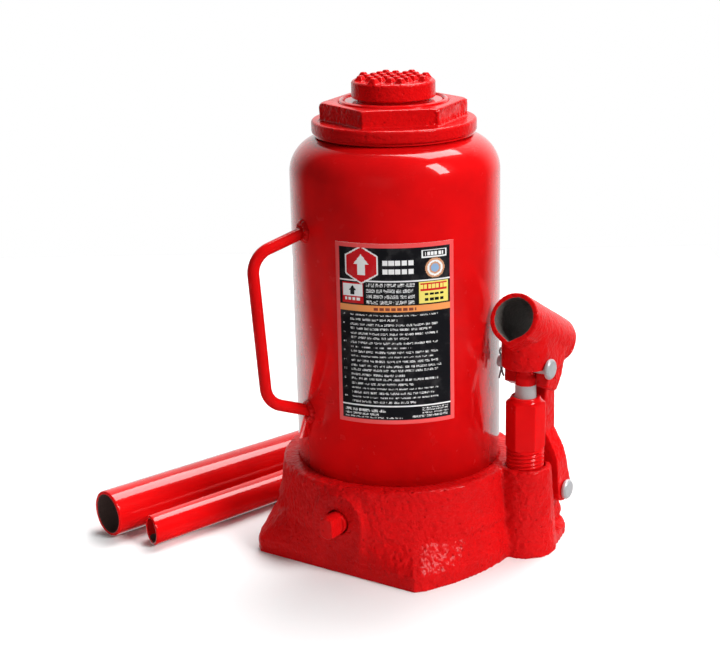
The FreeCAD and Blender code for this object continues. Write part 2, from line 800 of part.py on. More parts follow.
def lifting_cylinder():
    node("hydraulic_cylinder", turned("hydraulic_cylinder", [
        (dim.cylinder_bore, dim.cylinder_bottom),
        (dim.cylinder_radius, dim.cylinder_bottom),
        (dim.cylinder_radius, dim.nut_shoulder - 0.2),
        (dim.cylinder_bore, dim.nut_shoulder - 0.2),
    ]))
    node("cylinder_gasket", turned("cylinder_gasket", [
        (dim.cylinder_bore + 0.5, dim.cylinder_seat),
        (dim.cylinder_radius, dim.cylinder_seat),
        (dim.cylinder_radius, dim.cylinder_bottom),
        (dim.cylinder_bore + 0.5, dim.cylinder_bottom),
    ]))


def ram():
    """Hollow ram with its piston head, seal and guide ring."""
    groove_floor = dim.piston_head_radius - 3
    node("ram", turned("ram", [
        (0, dim.ram_bottom),
        (dim.piston_head_radius - 1, dim.ram_bottom),
        (dim.piston_head_radius, dim.ram_bottom + 1),
        (dim.piston_head_radius, dim.ram_bottom + 4),
        (groove_floor, dim.ram_bottom + 4),
        (groove_floor, dim.ram_bottom + 10),
        (dim.piston_head_radius, dim.ram_bottom + 10),
        (dim.piston_head_radius, dim.ram_bottom + 12.5),
        (groove_floor + 1.4, dim.ram_bottom + 12.5),
        (groove_floor + 1.4, dim.ram_bottom + 16.5),
        (dim.piston_head_radius, dim.ram_bottom + 16.5),
        (dim.piston_head_radius, dim.piston_head_top),
        (dim.ram_radius, dim.piston_head_top + 2),
        (dim.ram_radius, dim.ram_top - 1),
        (dim.ram_radius - 1, dim.ram_top),
        (dim.screw_radius + 0.8, dim.ram_top),
        (dim.screw_radius + dim.running_gap, dim.ram_top - 0.8),
        (dim.screw_radius + dim.running_gap, dim.thread_bottom),
        (dim.screw_radius + 2, dim.thread_bottom - 2),
        (dim.screw_radius + 2, dim.screw_end - dim.screw_stroke_clear + 4),
        (0, dim.screw_end - dim.screw_stroke_clear),
    ]))
    node("piston_cup_seal", turned("piston_cup_seal", [
        (groove_floor, dim.ram_bottom + 4.2),
        (groove_floor + 1.1, dim.ram_bottom + 4.2),
        (groove_floor + 1.5, dim.ram_bottom + 6.6),
        (dim.seal_radius - 1.0, dim.ram_bottom + 6.6),
        (dim.seal_radius - 0.8, dim.ram_bottom + 4.2),
        (dim.seal_radius - 0.02, dim.ram_bottom + 4.2),
        (dim.seal_radius - 0.02, dim.ram_bottom + 9.8),
        (groove_floor, dim.ram_bottom + 9.8),
    ]))
    node("piston_guide_ring", turned("piston_guide_ring", [
        (groove_floor + 1.4, dim.ram_bottom + 12.6),
        (dim.seal_radius - 0.02, dim.ram_bottom + 12.6),
        (dim.seal_radius - 0.02, dim.ram_bottom + 16.4),
        (groove_floor + 1.4, dim.ram_bottom + 16.4),
    ]))


def extension_screw():
    """Screw with the load saddle as its head, and the ring that stops it leaving the ram."""
    corners = [
        (0, dim.screw_end),
        (dim.screw_root_radius - 1, dim.screw_end),
        (dim.screw_root_radius - 1, dim.screw_end + 3.2),
        (dim.screw_root_radius, dim.screw_end + 4.2),
    ]
    turn_start = 144
    for number in range(20):
        low = turn_start + number * dim.thread_pitch
        corners.append((dim.screw_root_radius, low))
        corners.append((dim.screw_radius, low + 1.4))
        corners.append((dim.screw_radius, low + 2.0))
        corners.append((dim.screw_root_radius, low + 3.4))
    corners += [
        (dim.screw_root_radius, dim.saddle_bottom - 4),
        (dim.screw_radius - 0.2, dim.saddle_bottom - 3),
        (dim.screw_radius - 0.2, dim.saddle_bottom),
        (dim.saddle_radius - 0.6, dim.saddle_bottom),
        (dim.saddle_radius, dim.saddle_bottom + 0.6),
        (dim.saddle_radius, dim.saddle_face - 0.9),
        (dim.saddle_radius - 0.9, dim.saddle_face),
        (0, dim.saddle_face),
    ]
    spindle = turned("spindle", corners)
    bumps = []
    reach = dim.saddle_radius.value - dim.bump_base.value * 0.62
    steps = int(reach // dim.bump_pitch.value) + 1
    sink = 0.2
    for row in range(-steps, steps + 1):
        for column in range(-steps, steps + 1):
            across = column * dim.bump_pitch.value
            along = row * dim.bump_pitch.value
            if math.hypot(across, along) > reach:
                continue
            bumps.append(saddle_bump("bump_%d" % len(bumps), across, along, dim.saddle_face.value - sink))
    node("extension_screw", fuse("extension_screw", spindle, *bumps))
    ring = turned("stop_ring_round", [
        (dim.screw_root_radius - 1, dim.screw_end + 0.2),
        (dim.screw_radius + 1.6, dim.screw_end + 0.2),
        (dim.screw_radius + 1.6, dim.screw_end + 3),
        (dim.screw_root_radius - 1, dim.screw_end + 3),
    ])
    split = box("stop_ring_split", (0, -2, dim.screw_end - 1), (30, 2, dim.screw_end + 5))
    node("screw_stop_ring", cut("screw_stop_ring", ring, split))


def saddle_bump(name, across, along, foot):
    """One flat-topped pyramid of the saddle's grip pattern."""
    pyramid = doc.addObject("Part::Wedge", name)
    half = dim.bump_base / 2
    crown = dim.bump_face / 2
    bind(pyramid, Xmin=-half, Xmax=half, Zmin=-half, Zmax=half, Ymin=0, Ymax=dim.saddle_top - foot,
         X2min=-crown, X2max=crown, Z2min=-crown, Z2max=crown)
    return place(pyramid, (across, along, foot), Rotation(Vector(1, 0, 0), 90))


def carry_handle():
    """Bent rod handle, butt-welded to the tank at both feet."""
    turn = Rotation(Vector(0, 0, 1), -dim.handle_azimuth.value)

    def spot(reach, height):
        return turn.multVec(Vector(reach, 0, height))

    inside = 49
    top_slope = (dim.handle_top_corner.value - dim.handle_top_foot.value) / (
        dim.handle_top_reach.value - dim.tank_radius.value)
    low_slope = (dim.handle_low_corner.value - dim.handle_low_foot.value) / (
        dim.handle_low_reach.value - dim.tank_radius.value)
    step = dim.tank_radius.value - inside
    path = bent_path([
        spot(inside, dim.handle_top_foot.value - top_slope * step),
        spot(dim.handle_top_reach.value, dim.handle_top_corner.value),
        spot(dim.handle_low_reach.value, dim.handle_low_corner.value),
        spot(inside, dim.handle_low_foot.value - low_slope * step),
    ], dim.handle_bend.value)
    bar = rod("carry_handle", path, dim.handle_rod_radius)
    tank_room = cylinder("handle_tank_room", dim.tank_radius, 220, at=(0, 0, 20))
    node("carry_handle", cut("carry_handle", bar, tank_room))
    beads = []
    for name, foot, slope in (("top", dim.handle_top_foot, top_slope), ("low", dim.handle_low_foot, low_slope)):
        outward = turn.multVec(Vector(1, 0, slope))
        bead = doc.addObject("Part::Cone", "weld_%s" % name)
        bind(bead, Radius1=dim.weld_radius, Radius2=dim.handle_rod_radius + 0.7, Height=dim.weld_depth)
        bead.Placement = Placement(spot(dim.tank_radius.value - 0.8, foot.value),
                                   Rotation(Vector(0, 0, 1), outward))
        beads.append(bead)
    room = cylinder("weld_tank_room", dim.tank_radius, 220, at=(0, 0, 20))
    node("handle_welds", cut("handle_welds", fuse("weld_beads", *beads), room, bar))


def release_valve():
    """Screw-down release valve with its seal and ball."""
    face = dim.valve_face
    ball_depth = dim.valve_seat_depth - 2
    tip = ball_depth - dim.valve_ball_radius - 0.05
    stem = turned("valve_stem", [
        (0, -dim.valve_reach),
        (dim.valve_head_radius - 0.8, -dim.valve_reach),
        (dim.valve_head_radius, -dim.valve_reach + 0.8),
        (dim.valve_head_radius, 10),
        (4.4, 10),
        (4.4, 13),
        (dim.valve_head_radius, 13),
        (dim.valve_head_radius, 17.4),
        (3.4, 19),
        (3.4, tip),
        (0, tip),
    ], at=(dim.valve_x, -face, dim.valve_z), rotation=ALONG_Y)
    flats = []
    for name, side in (("left", -1), ("right", 1)):
        low_x = dim.valve_x + side * dim.valve_tang / 2
        far_x = low_x + side * 6
        ends = (low_x, far_x) if side > 0 else (far_x, low_x)
        flats.append(box("valve_flat_" + name, (ends[0], -face - dim.valve_reach - 1, dim.valve_z - 8),
                         (ends[1], -face - 1.2, dim.valve_z + 8)))
    node("release_valve", cut("release_valve", stem, *flats))
    node("release_valve_o_ring", turned("release_valve_o_ring", [
        (4.4, 10.3), (5.6, 10.1), (6.05, 10.8), (6.05, 12.2), (5.6, 12.9), (4.4, 12.7),
    ], at=(dim.valve_x, -face, dim.valve_z), rotation=ALONG_Y))
    node("release_valve_ball", ball("release_valve_ball", dim.valve_ball_radius,
                                    (dim.valve_x, ball_depth - face, dim.valve_z)))


def pump():
    """Screwed-in pump cylinder with its plunger and seals."""
    thread = [
        (0, dim.pump_bottom),
        (dim.pump_thread_root, dim.pump_bottom),
    ]
    turn_count = 17
    pitch = (dim.pump_hex_bottom - dim.pump_bottom) / turn_count
    for number in range(turn_count):
        low = dim.pump_bottom + number * pitch
        thread.append((dim.pump_thread_root, low + 0.1))
        thread.append((dim.pump_thread_radius, low + pitch * 0.45))
        thread.append((dim.pump_thread_radius, low + pitch * 0.6))
        thread.append((dim.pump_thread_root, low + pitch * 0.97))
    thread += [(dim.pump_thread_root, dim.pump_hex_bottom + 1), (0, dim.pump_hex_bottom + 1)]
    at = (dim.pump_x, dim.pump_y, 0)
    shank = turned("pump_shank", thread, at=at)
    hexagon = prism("pump_hexagon", dim.pump_hex_radius, dim.pump_hex_top - dim.pump_hex_bottom,
                    at=(dim.pump_x, dim.pump_y, dim.pump_hex_bottom), turn=-32.6)
    crown = turned("pump_crown", [
        (0, dim.pump_hex_bottom),
        (dim.pump_hex_radius - 1.2, dim.pump_hex_bottom),
        (dim.pump_hex_radius + 0.2, dim.pump_hex_bottom + 0.8),
        (dim.pump_hex_radius + 0.2, dim.pump_hex_top - 1.4),
        (dim.pump_hex_radius - 1.9, dim.pump_hex_top),
        (0, dim.pump_hex_top),
    ], at=at)
    collar = cone("pump_collar", dim.pump_hex_radius - 1.9, dim.pump_hex_radius - 2.8,
                  dim.pump_collar_top - dim.pump_hex_top, at=(dim.pump_x, dim.pump_y, dim.pump_hex_top))
    blank = fuse("pump_blank", shank, common("pump_hex", hexagon, crown), collar)
    bore = turned("pump_bore", [
        (0, dim.pump_bottom - 1),
        (dim.piston_radius + dim.running_gap, dim.pump_bottom - 1),
        (dim.piston_radius + dim.running_gap, 68),
        (7.3, 68),
        (7.3, 72),
        (dim.piston_radius + dim.running_gap, 72),
        (dim.piston_radius + dim.running_gap, 76.8),
        (6.9, 76.8),
        (6.9, 80.8),
        (dim.piston_radius + 0.25, 80.8),
        (dim.piston_radius + 0.25, dim.pump_collar_top + 1),
        (0, dim.pump_collar_top + 1),
    ], at=at)
    node("pump_cylinder", cut("pump_cylinder", blank, bore))
    node("pump_washer", turned("pump_washer", [
        (dim.piston_radius + 0.8, 18), (9.2, 18), (9.2, dim.pump_bottom),
        (dim.piston_radius + 0.8, dim.pump_bottom),
    ], at=at))
    node("plunger_seal", turned("plunger_seal", [
        (dim.piston_radius + dim.running_gap, 68.2),
        (6.3, 68.2), (6.5, 70), (6.9, 70), (7.0, 68.2), (7.3, 68.2), (7.3, 71.8),
        (dim.piston_radius + dim.running_gap, 71.8),
    ], at=at))
    node("plunger_wiper", turned("plunger_wiper", [
        (dim.piston_radius + dim.running_gap, 77.0),
        (6.9, 77.0), (6.9, 80.6), (6.2, 80.6),
        (dim.piston_radius + dim.running_gap, 79.8),
    ], at=at))
    eye_radius = 4.6
    shoulder = 6.0
    plunger = turned("plunger_bar", [
        (0, dim.piston_bottom),
        (dim.piston_radius - 0.8, dim.piston_bottom),
        (dim.piston_radius, dim.piston_bottom + 0.8),
        (dim.piston_radius, dim.pin_height - shoulder),
        (eye_radius, dim.pin_height - shoulder + 1.5),
        (eye_radius, dim.pin_height),
        (0, dim.pin_height),
    ], at=at)
    eye = cylinder("plunger_eye", eye_radius, 10.4, at=(dim.pump_x - 5.2, dim.pump_y, dim.pin_height),
                   rotation=ALONG_X)
    eye_round = ball("plunger_eye_round", 6.2, (dim.pump_x, dim.pump_y, dim.pin_height - 0.5))
    eye_hole = cylinder("plunger_eye_hole", dim.pin_radius + 0.02, 30,
                        at=(dim.pump_x - 15, dim.pump_y, dim.pin_height), rotation=ALONG_X)
    node("pump_plunger", cut("pump_plunger", fuse("plunger_blank", plunger, common("plunger_top", eye, eye_round)),
                             eye_hole))


def headed_pin(name, y, z, reach):
    """Pin along X with a flat domed head on the +X side and a hole for its split pin on the other."""
    head_x = dim.pump_x + reach
    length = 2 * size(reach) + dim.pin_tail
    shank = cylinder(name + "_shank", dim.pin_radius, length, at=(head_x - length, y, z), rotation=ALONG_X)
    edge = 0.9
    head = turned(name + "_head", [
        (0, 0),
        (dim.pin_head_radius - 0.3, 0),
        (dim.pin_head_radius, 0.3),
        (dim.pin_head_radius, dim.pin_head_height - edge),
        (dim.pin_head_radius - edge, dim.pin_head_height),
        (0, dim.pin_head_height),
    ], at=(head_x, y, z), rotation=ALONG_X)
    hole = cylinder(name + "_split_hole", dim.split_pin_radius + 0.1, 20,
                    at=(dim.pump_x - reach - dim.pin_tail / 2, y, size(z) - 10))
    return node(name, cut(name, fuse(name + "_blank", shank, head), hole))


def split_pin(name, y, z, reach):
    """Split pin through the end of a headed pin: round eye above, two legs bent apart below."""
    x = dim.pump_x - reach - dim.pin_tail / 2
    wire = dim.split_pin_radius
    half_wire = wire * 0.62
    eye_radius = 1.7
    foot = size(z) - dim.pin_radius - 1.6
    top = size(z) + dim.pin_radius + eye_radius + 0.65
    eye = torus(name + "_eye", eye_radius, half_wire, (x, y, top), ALONG_X)
    neck = cylinder(name + "_neck", wire, top - eye_radius - foot + 0.2, at=(x, y, foot))
    legs = []
    for side in (-1, 1):
        leg = cylinder("%s_leg_%d" % (name, (side + 1) // 2), half_wire, 5.2,
                       at=(x, y + side * 0.25, foot + 0.6),
                       rotation=Rotation(Vector(1, 0, 0), 180 + side * 24))
        legs.append(leg)
    return node(name, fuse(name, eye, neck, *legs))


def plain_pin(name, y, z):
    """Pin along X pressed into the socket's ears, its ends flush with them."""
    return node(name, cylinder(name, dim.pin_radius, 2 * dim.ear_half, at=(dim.pump_x - dim.ear_half, y, z),
                               rotation=ALONG_X))


def handle_socket():
    """Cast lever: tube for the handle above a clevis that takes the plunger eye and the link head."""
    length = dim.socket_mouth + dim.socket_rear
    outer = cylinder("socket_round", dim.socket_radius, length,
                     at=(0, -dim.socket_mouth, dim.socket_lift), rotation=ALONG_Y)
    outer_keel = keel("socket_keel", dim.socket_radius, dim.socket_vee_out, -dim.socket_mouth, length)
    tilt_back = Rotation(Vector(1, 0, 0), dim.socket_tilt.value)
    stock = 60
    nose = cylinder("clevis_nose", dim.ear_half, stock)
    nose.Placement = Placement(tilt_back.multVec(Vector(0, 0, -stock / 2)), tilt_back)
    cheeks = doc.addObject("Part::Box", "clevis_cheeks")
    bind(cheeks, Length=2 * dim.ear_half, Width=stock / 2, Height=stock)
    cheeks.Placement = Placement(tilt_back.multVec(Vector(-dim.ear_half.value, 0, -stock / 2)), tilt_back)
    rear_y = dim.clevis_rear
    limits = slab("clevis_limits", [
        (-22, -dim.ear_floor),
        (dim.pin_spacing + 0.5, -dim.ear_floor),
        (dim.pin_spacing + 3.0, -dim.ear_floor + 1.6),
        (rear_y - 1, -3.5),
        (rear_y, 1.0),
        (rear_y - 0.8, 6),
        (rear_y - 1.2, dim.socket_lift - 8),
        (rear_y - 2.5, dim.socket_lift),
        (-20, dim.socket_lift),
    ], "YZ_Plane", 2 * dim.ear_half)
    clevis = common("clevis", fuse("clevis_stock", nose, cheeks), limits)
    blank = fuse("socket_blank", outer, outer_keel, clevis)
    bore = cylinder("socket_bore_round", dim.socket_bore, length + 2,
                    at=(0, -dim.socket_mouth - 1, dim.socket_lift), rotation=ALONG_Y)
    bore_keel = keel("socket_bore_keel", dim.socket_bore, dim.socket_vee_in, -dim.socket_mouth - 1, length + 2)
    ceiling = 5.2
    slot = slab("clevis_slot", [
        (-5.0, ceiling),
        (-5.0, -2.5),
        (-7.2, -9.5),
        (-7.2, -40),
        (40, -40),
        (40, ceiling),
    ], "YZ_Plane", 2 * dim.ear_slot)
    pin_hole = cylinder("clevis_pin_hole", dim.pin_radius + dim.running_gap, 40, at=(-20, 0, 0), rotation=ALONG_X)
    link_hole = cylinder("clevis_link_hole", dim.pin_radius + 0.02, 40, at=(-20, dim.pin_spacing, 0),
                         rotation=ALONG_X)
    socket = cut("handle_socket", blank, bore, bore_keel, slot, pin_hole, link_hole)
    place(socket, (dim.pump_x, dim.pump_y, dim.pin_height), Rotation(Vector(-1, 0, 0), dim.socket_tilt.value))
    socket.setExpression(".Placement.Rotation.Angle", dim.socket_tilt.formula)
    return node("handle_socket", socket)


def keel(name, radius, depth, start, length):
    """The vee under a round tube: two flats from the round down to a line at the given depth."""
    contact = math.asin(radius.value / depth.value)
    side = radius.value * math.cos(contact)
    drop = radius.value * math.sin(contact)
    item = doc.addObject("Part::Feature", name)
    lift = dim.socket_lift.value
    begin = size(start).value
    corners = [
        Vector(-side, begin, lift - drop),
        Vector(0, begin, lift - depth.value),
        Vector(side, begin, lift - drop),
        Vector(0, begin, lift),
    ]
    face = Part.Face(Part.makePolygon(corners + corners[:1]))
    item.Shape = face.extrude(Vector(0, size(length).value, 0))
    return item


def link():
    """Forked link from the base lug to the rear of the socket."""
    side = slab("link_side", [
        (20.5, 92.0), (20.9, 95.3), (23.6, 97.3), (26.6, 97.1), (29.2, 95.4), (30.2, 92.4),
        (34.6, 86.0), (36.0, 82.0), (36.0, 45.0), (38.5, 37.0), (41.2, 30.0),
        (40.9, 24.6), (38.2, 21.4), (34.5, 20.4), (30.8, 21.2), (28.6, 23.6),
        (26.6, 34.0), (25.4, 46.0), (25.2, 84.0), (21.2, 89.0),
    ], "YZ_Plane", 40, at=(dim.pump_x, 0, 0))
    half = dim.link_half
    wide = dim.fork_half
    gap = dim.fork_slot
    front = slab("link_front", [
        (-half, 99), (-half, 60), (-wide + 1.5, 50), (-wide, 45), (-wide, 18), (-gap, 18), (-gap, 39),
        (-gap + 1.5, 42), (gap - 1.5, 42), (gap, 39), (gap, 18), (wide, 18), (wide, 45),
        (wide - 1.5, 50), (half, 60), (half, 99),
    ], "XZ_Plane", 120, at=(dim.pump_x, 0, 0))
    blank = common("link_blank", side, front)
    low_hole = cylinder("link_low_hole", dim.pin_radius + dim.running_gap, 60,
                        at=(dim.pump_x - 30, dim.link_pin_y, dim.link_pin_z), rotation=ALONG_X)
    eye_front = cylinder("link_eye_front", dim.pin_radius + 0.3, 60,
                         at=(dim.pump_x - 30, dim.fulcrum_y - 0.4, dim.fulcrum_z), rotation=ALONG_X)
    eye_rear = cylinder("link_eye_rear", dim.pin_radius + 0.3, 60,
                        at=(dim.pump_x - 30, dim.fulcrum_y + 0.9, dim.fulcrum_z), rotation=ALONG_X)
    eye_middle = box("link_eye_middle",
                     (dim.pump_x - 30, dim.fulcrum_y - 0.4, dim.fulcrum_z - dim.pin_radius - 0.3),
                     (dim.pump_x + 30, dim.fulcrum_y + 0.9, dim.fulcrum_z + dim.pin_radius + 0.3))
    node("link", cut("link", blank, low_hole, eye_front, eye_rear, eye_middle))


def handle_tube(prefix):
    """One loose length of handle tube lying on the floor, its end corners broken."""
    radius = getattr(dim, prefix + "radius")
    bore = getattr(dim, prefix + "bore")
    length = getattr(dim, prefix + "length")
    edge = 0.5
    return turned(prefix + "bar", [
        (bore + edge, 0),
        (radius - edge, 0),
        (radius, edge),
        (radius, length - edge),
        (radius - edge, length),
        (bore + edge, length),
        (bore, length - edge),
        (bore, edge),
    ], at=(getattr(dim, prefix + "x"), getattr(dim, prefix + "y"), radius),
        rotation=floor_direction(getattr(dim, prefix + "azimuth").value))


def floor_direction(azimuth):
    """The rotation that lays a Z axis along the floor at an azimuth from +X."""
    angle = math.radians(azimuth)
    return Rotation(Vector(0, 0, 1), Vector(math.cos(angle), math.sin(angle), 0))


def handle_tubes():
    """The two loose lengths of the pump handle; the thin one is sawn off slightly out of square."""
    node("handle_tube_large", handle_tube("big_tube_"))
    slender = handle_tube("small_tube_")
    blade = doc.addObject("Part::Cylinder", "small_tube_blade")
    bind(blade, Radius=4 * dim.small_tube_radius, Height=4 * dim.small_tube_radius)
    azimuth = dim.small_tube_azimuth.value
    cut_azimuth = azimuth - dim.small_tube_cut_angle.value
    reach = dim.small_tube_radius.value * math.tan(math.radians(dim.small_tube_cut_angle.value))
    stand_off = 4 * dim.small_tube_radius.value - reach
    angle = math.radians(cut_azimuth)
    place(blade, (
        dim.small_tube_x - stand_off * math.cos(angle),
        dim.small_tube_y - stand_off * math.sin(angle),
        dim.small_tube_radius,
    ), floor_direction(cut_azimuth))
    node("handle_tube_small", cut("handle_tube_small", slender, blade))


def label():
    """Thin printed sheet stuck round the tank."""
    sleeve_outer = doc.addObject("Part::Cylinder", "label_outer")
    bind(sleeve_outer, Radius=dim.tank_radius + dim.label_thickness, Height=dim.label_height,
         Angle=dim.label_sweep)
    sleeve_inner = cylinder("label_inner", dim.tank_radius, dim.label_height + 2,
                            at=(0, 0, dim.label_bottom - 1))
    place(sleeve_outer, (0, 0, dim.label_bottom), Rotation(Vector(0, 0, 1), dim.label_start.value))
    node("label", cut("label", sleeve_outer, sleeve_inner))


def check_and_export():
    """Recomputes the document, stops on any bad part and writes one STEP file for each node."""
    doc.recompute()
    for item in doc.Objects:
        if {"Invalid", "Error"} & set(item.State):
            raise RuntimeError("%s did not compute: %s" % (item.Label, item.State))
    os.makedirs("parts", exist_ok=True)
    for name, item in nodes.items():
        shape = item.Shape
        if shape.isNull() or not shape.isValid() or not shape.Solids:
            raise RuntimeError("%s has no valid solid" % name)
        shape.exportStep("parts/%s.step" % name)
        print("%-24s %2d solid  %10.1f mm3" % (name, len(shape.Solids), shape.Volume))


base_casting()
check_valves()
reservoir()
top_nut()
lifting_cylinder()
ram()
extension_screw()
carry_handle()
release_valve()
pump()
headed_pin("plunger_pin", dim.pump_y, dim.pin_height, dim.plunger_pin_reach)
split_pin("plunger_pin_cotter", dim.pump_y, dim.pin_height, dim.plunger_pin_reach)
handle_socket()
link()
plain_pin("link_upper_pin", dim.fulcrum_y, dim.fulcrum_z)
headed_pin("link_lower_pin", dim.link_pin_y, dim.link_pin_z, dim.link_pin_reach)
split_pin("link_lower_cotter", dim.link_pin_y, dim.link_pin_z, dim.link_pin_reach)
handle_tubes()
label()
check_and_export()
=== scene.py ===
"""Looks of a hydraulic bottle jack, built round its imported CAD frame.  All lengths are in metres."""
import json
import math
import random

import bmesh
import bpy
from mathutils import Matrix, Vector, noise


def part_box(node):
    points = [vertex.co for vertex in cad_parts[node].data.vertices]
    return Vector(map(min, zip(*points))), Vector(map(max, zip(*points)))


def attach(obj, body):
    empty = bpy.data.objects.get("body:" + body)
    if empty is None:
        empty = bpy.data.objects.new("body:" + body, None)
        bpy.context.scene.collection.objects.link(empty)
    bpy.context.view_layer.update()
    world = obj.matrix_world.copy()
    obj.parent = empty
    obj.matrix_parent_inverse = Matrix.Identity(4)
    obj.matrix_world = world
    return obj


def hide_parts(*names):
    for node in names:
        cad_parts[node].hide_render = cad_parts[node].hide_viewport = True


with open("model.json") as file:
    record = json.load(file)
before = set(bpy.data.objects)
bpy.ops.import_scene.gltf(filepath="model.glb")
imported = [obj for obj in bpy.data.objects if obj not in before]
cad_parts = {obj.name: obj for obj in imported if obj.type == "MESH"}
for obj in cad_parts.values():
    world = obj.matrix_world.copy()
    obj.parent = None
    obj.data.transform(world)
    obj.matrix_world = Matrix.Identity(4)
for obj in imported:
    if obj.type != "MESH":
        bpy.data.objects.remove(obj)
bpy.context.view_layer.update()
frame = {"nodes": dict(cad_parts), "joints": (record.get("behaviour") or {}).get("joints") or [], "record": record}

MM = 0.001
JACK = "jack_body"

# the studio is turned against the jack, as the photographer saw it
STUDIO_TURN = math.radians(32.326)


def studio(x, y, z):
    """A point or direction given from the camera's side: x right, y away, z up."""
    c, s = math.cos(STUDIO_TURN), math.sin(STUDIO_TURN)
    return Vector((x * c - y * s, x * s + y * c, z))


# ---------------------------------------------------------------- mesh helpers

def new_piece(name, mesh, body, material, replaces=()):
    """Puts a finished mesh in the scene as a piece that rides a CAD body."""
    piece = bpy.data.objects.new(name, mesh)
    bpy.context.scene.collection.objects.link(piece)
    mesh.materials.clear()
    mesh.materials.append(material)
    for polygon in mesh.polygons:
        polygon.use_smooth = True
    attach(piece, body)
    if replaces:
        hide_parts(*replaces)


def mesh_from(name, bm):
    """A mesh data block from a bmesh, with its faces turned outwards."""
    bmesh.ops.recalc_face_normals(bm, faces=bm.faces)
    mesh = bpy.data.meshes.new(name)
    bm.to_mesh(mesh)
    bm.free()
    return mesh


def fillet(corners, steps):
    """Rounds the corners of a closed outline given as (x, y, radius); radius 0 keeps a corner sharp."""
    points = []
    count = len(corners)
    for index, (x, y, radius) in enumerate(corners):
        here = Vector((x, y))
        if radius <= 0:
            points.append(here)
            continue
        before = Vector(corners[index - 1][:2])
        after = Vector(corners[(index + 1) % count][:2])
        arrive = (here - before).normalized()
        leave = (after - here).normalized()
        turn = arrive.angle_signed(leave)
        if abs(turn) < 1e-4:
            points.append(here)
            continue
        reach = radius * math.tan(abs(turn) / 2)
        reach = min(reach, 0.49 * (here - before).length, 0.49 * (after - here).length)
        radius = reach / math.tan(abs(turn) / 2)
        start = here - arrive * reach
        side = Vector((arrive.y, -arrive.x)) * (1 if turn > 0 else -1)
        centre = start + side * radius
        first = start - centre
        for step in range(steps + 1):
            angle = -turn * step / steps
            c, s = math.cos(angle), math.sin(angle)
            points.append(centre + Vector((first.x * c - first.y * s, first.x * s + first.y * c)))
    return points


def lathe(name, outline, segments, wobble=None):
    """A closed solid turned about Z from a closed outline of (radius, height) points."""
    bm = bmesh.new()
    rings = []
    for radius, height in outline:
        if radius < 1e-7:
            rings.append([bm.verts.new((0, 0, height))])
            continue
        ring = []
        for index in range(segments):
            angle = 2 * math.pi * index / segments
            grown = radius + (wobble(angle, height) if wobble else 0)
            ring.append(bm.verts.new((grown * math.cos(angle), grown * math.sin(angle), height)))
        rings.append(ring)
    for lower, upper in zip(rings, rings[1:] + rings[:1]):
        for index in range(segments):
            after = (index + 1) % segments
            corners = [lower[index % len(lower)], lower[after % len(lower)],
                       upper[after % len(upper)], upper[index % len(upper)]]
            unique = list(dict.fromkeys(corners))
            if len(unique) >= 3:
                bm.faces.new(unique)
    return mesh_from(name, bm)


def tube(bm, points, radius, sides):
    """Adds a closed round bar along a line of points to a bmesh."""
    rings = []
    side = None
    for index, point in enumerate(points):
        along = (points[min(index + 1, len(points) - 1)] - points[max(index - 1, 0)]).normalized()
        if side is None:
            side = along.orthogonal().normalized()
        side = (side - along * side.dot(along)).normalized()
        other = along.cross(side)
        rings.append([bm.verts.new(point + (side * math.cos(a) + other * math.sin(a)) * radius)
                      for a in (2 * math.pi * k / sides for k in range(sides))])
    for lower, upper in zip(rings, rings[1:]):
        for k in range(sides):
            bm.faces.new((lower[k], lower[(k + 1) % sides], upper[(k + 1) % sides], upper[k]))
    bm.faces.new(rings[0])
    bm.faces.new(reversed(rings[-1]))


def cad_copy(node, keep_above=None):
    """A welded copy of a CAD node's mesh, or of the part of it above a height."""
    bm = bmesh.new()
    bm.from_mesh(frame["nodes"][node].data)
    bmesh.ops.remove_doubles(bm, verts=bm.verts, dist=2e-6)
    if keep_above is not None:
        geometry = bm.verts[:] + bm.edges[:] + bm.faces[:]
        cut = bmesh.ops.bisect_plane(bm, geom=geometry, plane_co=(0, 0, keep_above), plane_no=(0, 0, -1),
                                     clear_outer=True)
        edges = [item for item in cut["geom_cut"] if isinstance(item, bmesh.types.BMEdge)]
        bmesh.ops.holes_fill(bm, edges=edges)
    return bm


def softened(name, bm, voxel, rounds, keep=1.0):
    """Remeshes a solid evenly and relaxes it, so that its edges look cast, worn or painted over."""
    raw = bpy.data.meshes.new(name + "_raw")
    bm.to_mesh(raw)
    bm.free()
    helper = bpy.data.objects.new(name + "_helper", raw)
    bpy.context.scene.collection.objects.link(helper)
    remesh = helper.modifiers.new("remesh", "REMESH")
    remesh.mode = "VOXEL"
    remesh.voxel_size = voxel
    relax = helper.modifiers.new("relax", "SMOOTH")
    relax.factor = 0.5
    relax.iterations = rounds
    if keep < 1:
        thin = helper.modifiers.new("thin", "DECIMATE")
        thin.ratio = keep
    graph = bpy.context.evaluated_depsgraph_get()
    mesh = bpy.data.meshes.new_from_object(helper.evaluated_get(graph))
    mesh.name = name
    bpy.data.objects.remove(helper)
    bpy.data.meshes.remove(raw)
    return mesh


def roughen(mesh, amount, grain, where=lambda point: 1.0, seed=0.0):
    """Moves a mesh's points along their normals by smooth noise, mostly inwards, as on a casting's skin."""
    shift = Vector((seed, seed * 0.7, seed * 1.3))
    crest, middle = 0.5, 0.35
    normals = [Vector(item.vector) for item in mesh.vertex_normals]
    for vertex, normal in zip(mesh.vertices, normals):
        weight = where(vertex.co)
        if weight <= 0:
            continue
        value = noise.fractal(vertex.co / grain + shift, 0.6, 2.0, 3)
        vertex.co += normal * (min(value, crest) - middle) * amount * weight


def flagged(mesh, name, test):
    """Stores 1 or 0 on each point for a material to read."""
    layer = mesh.attributes.new(name, "FLOAT", "POINT")
    layer.data.foreach_set("value", [float(test(vertex.co)) for vertex in mesh.vertices])


# ---------------------------------------------------------------- materials

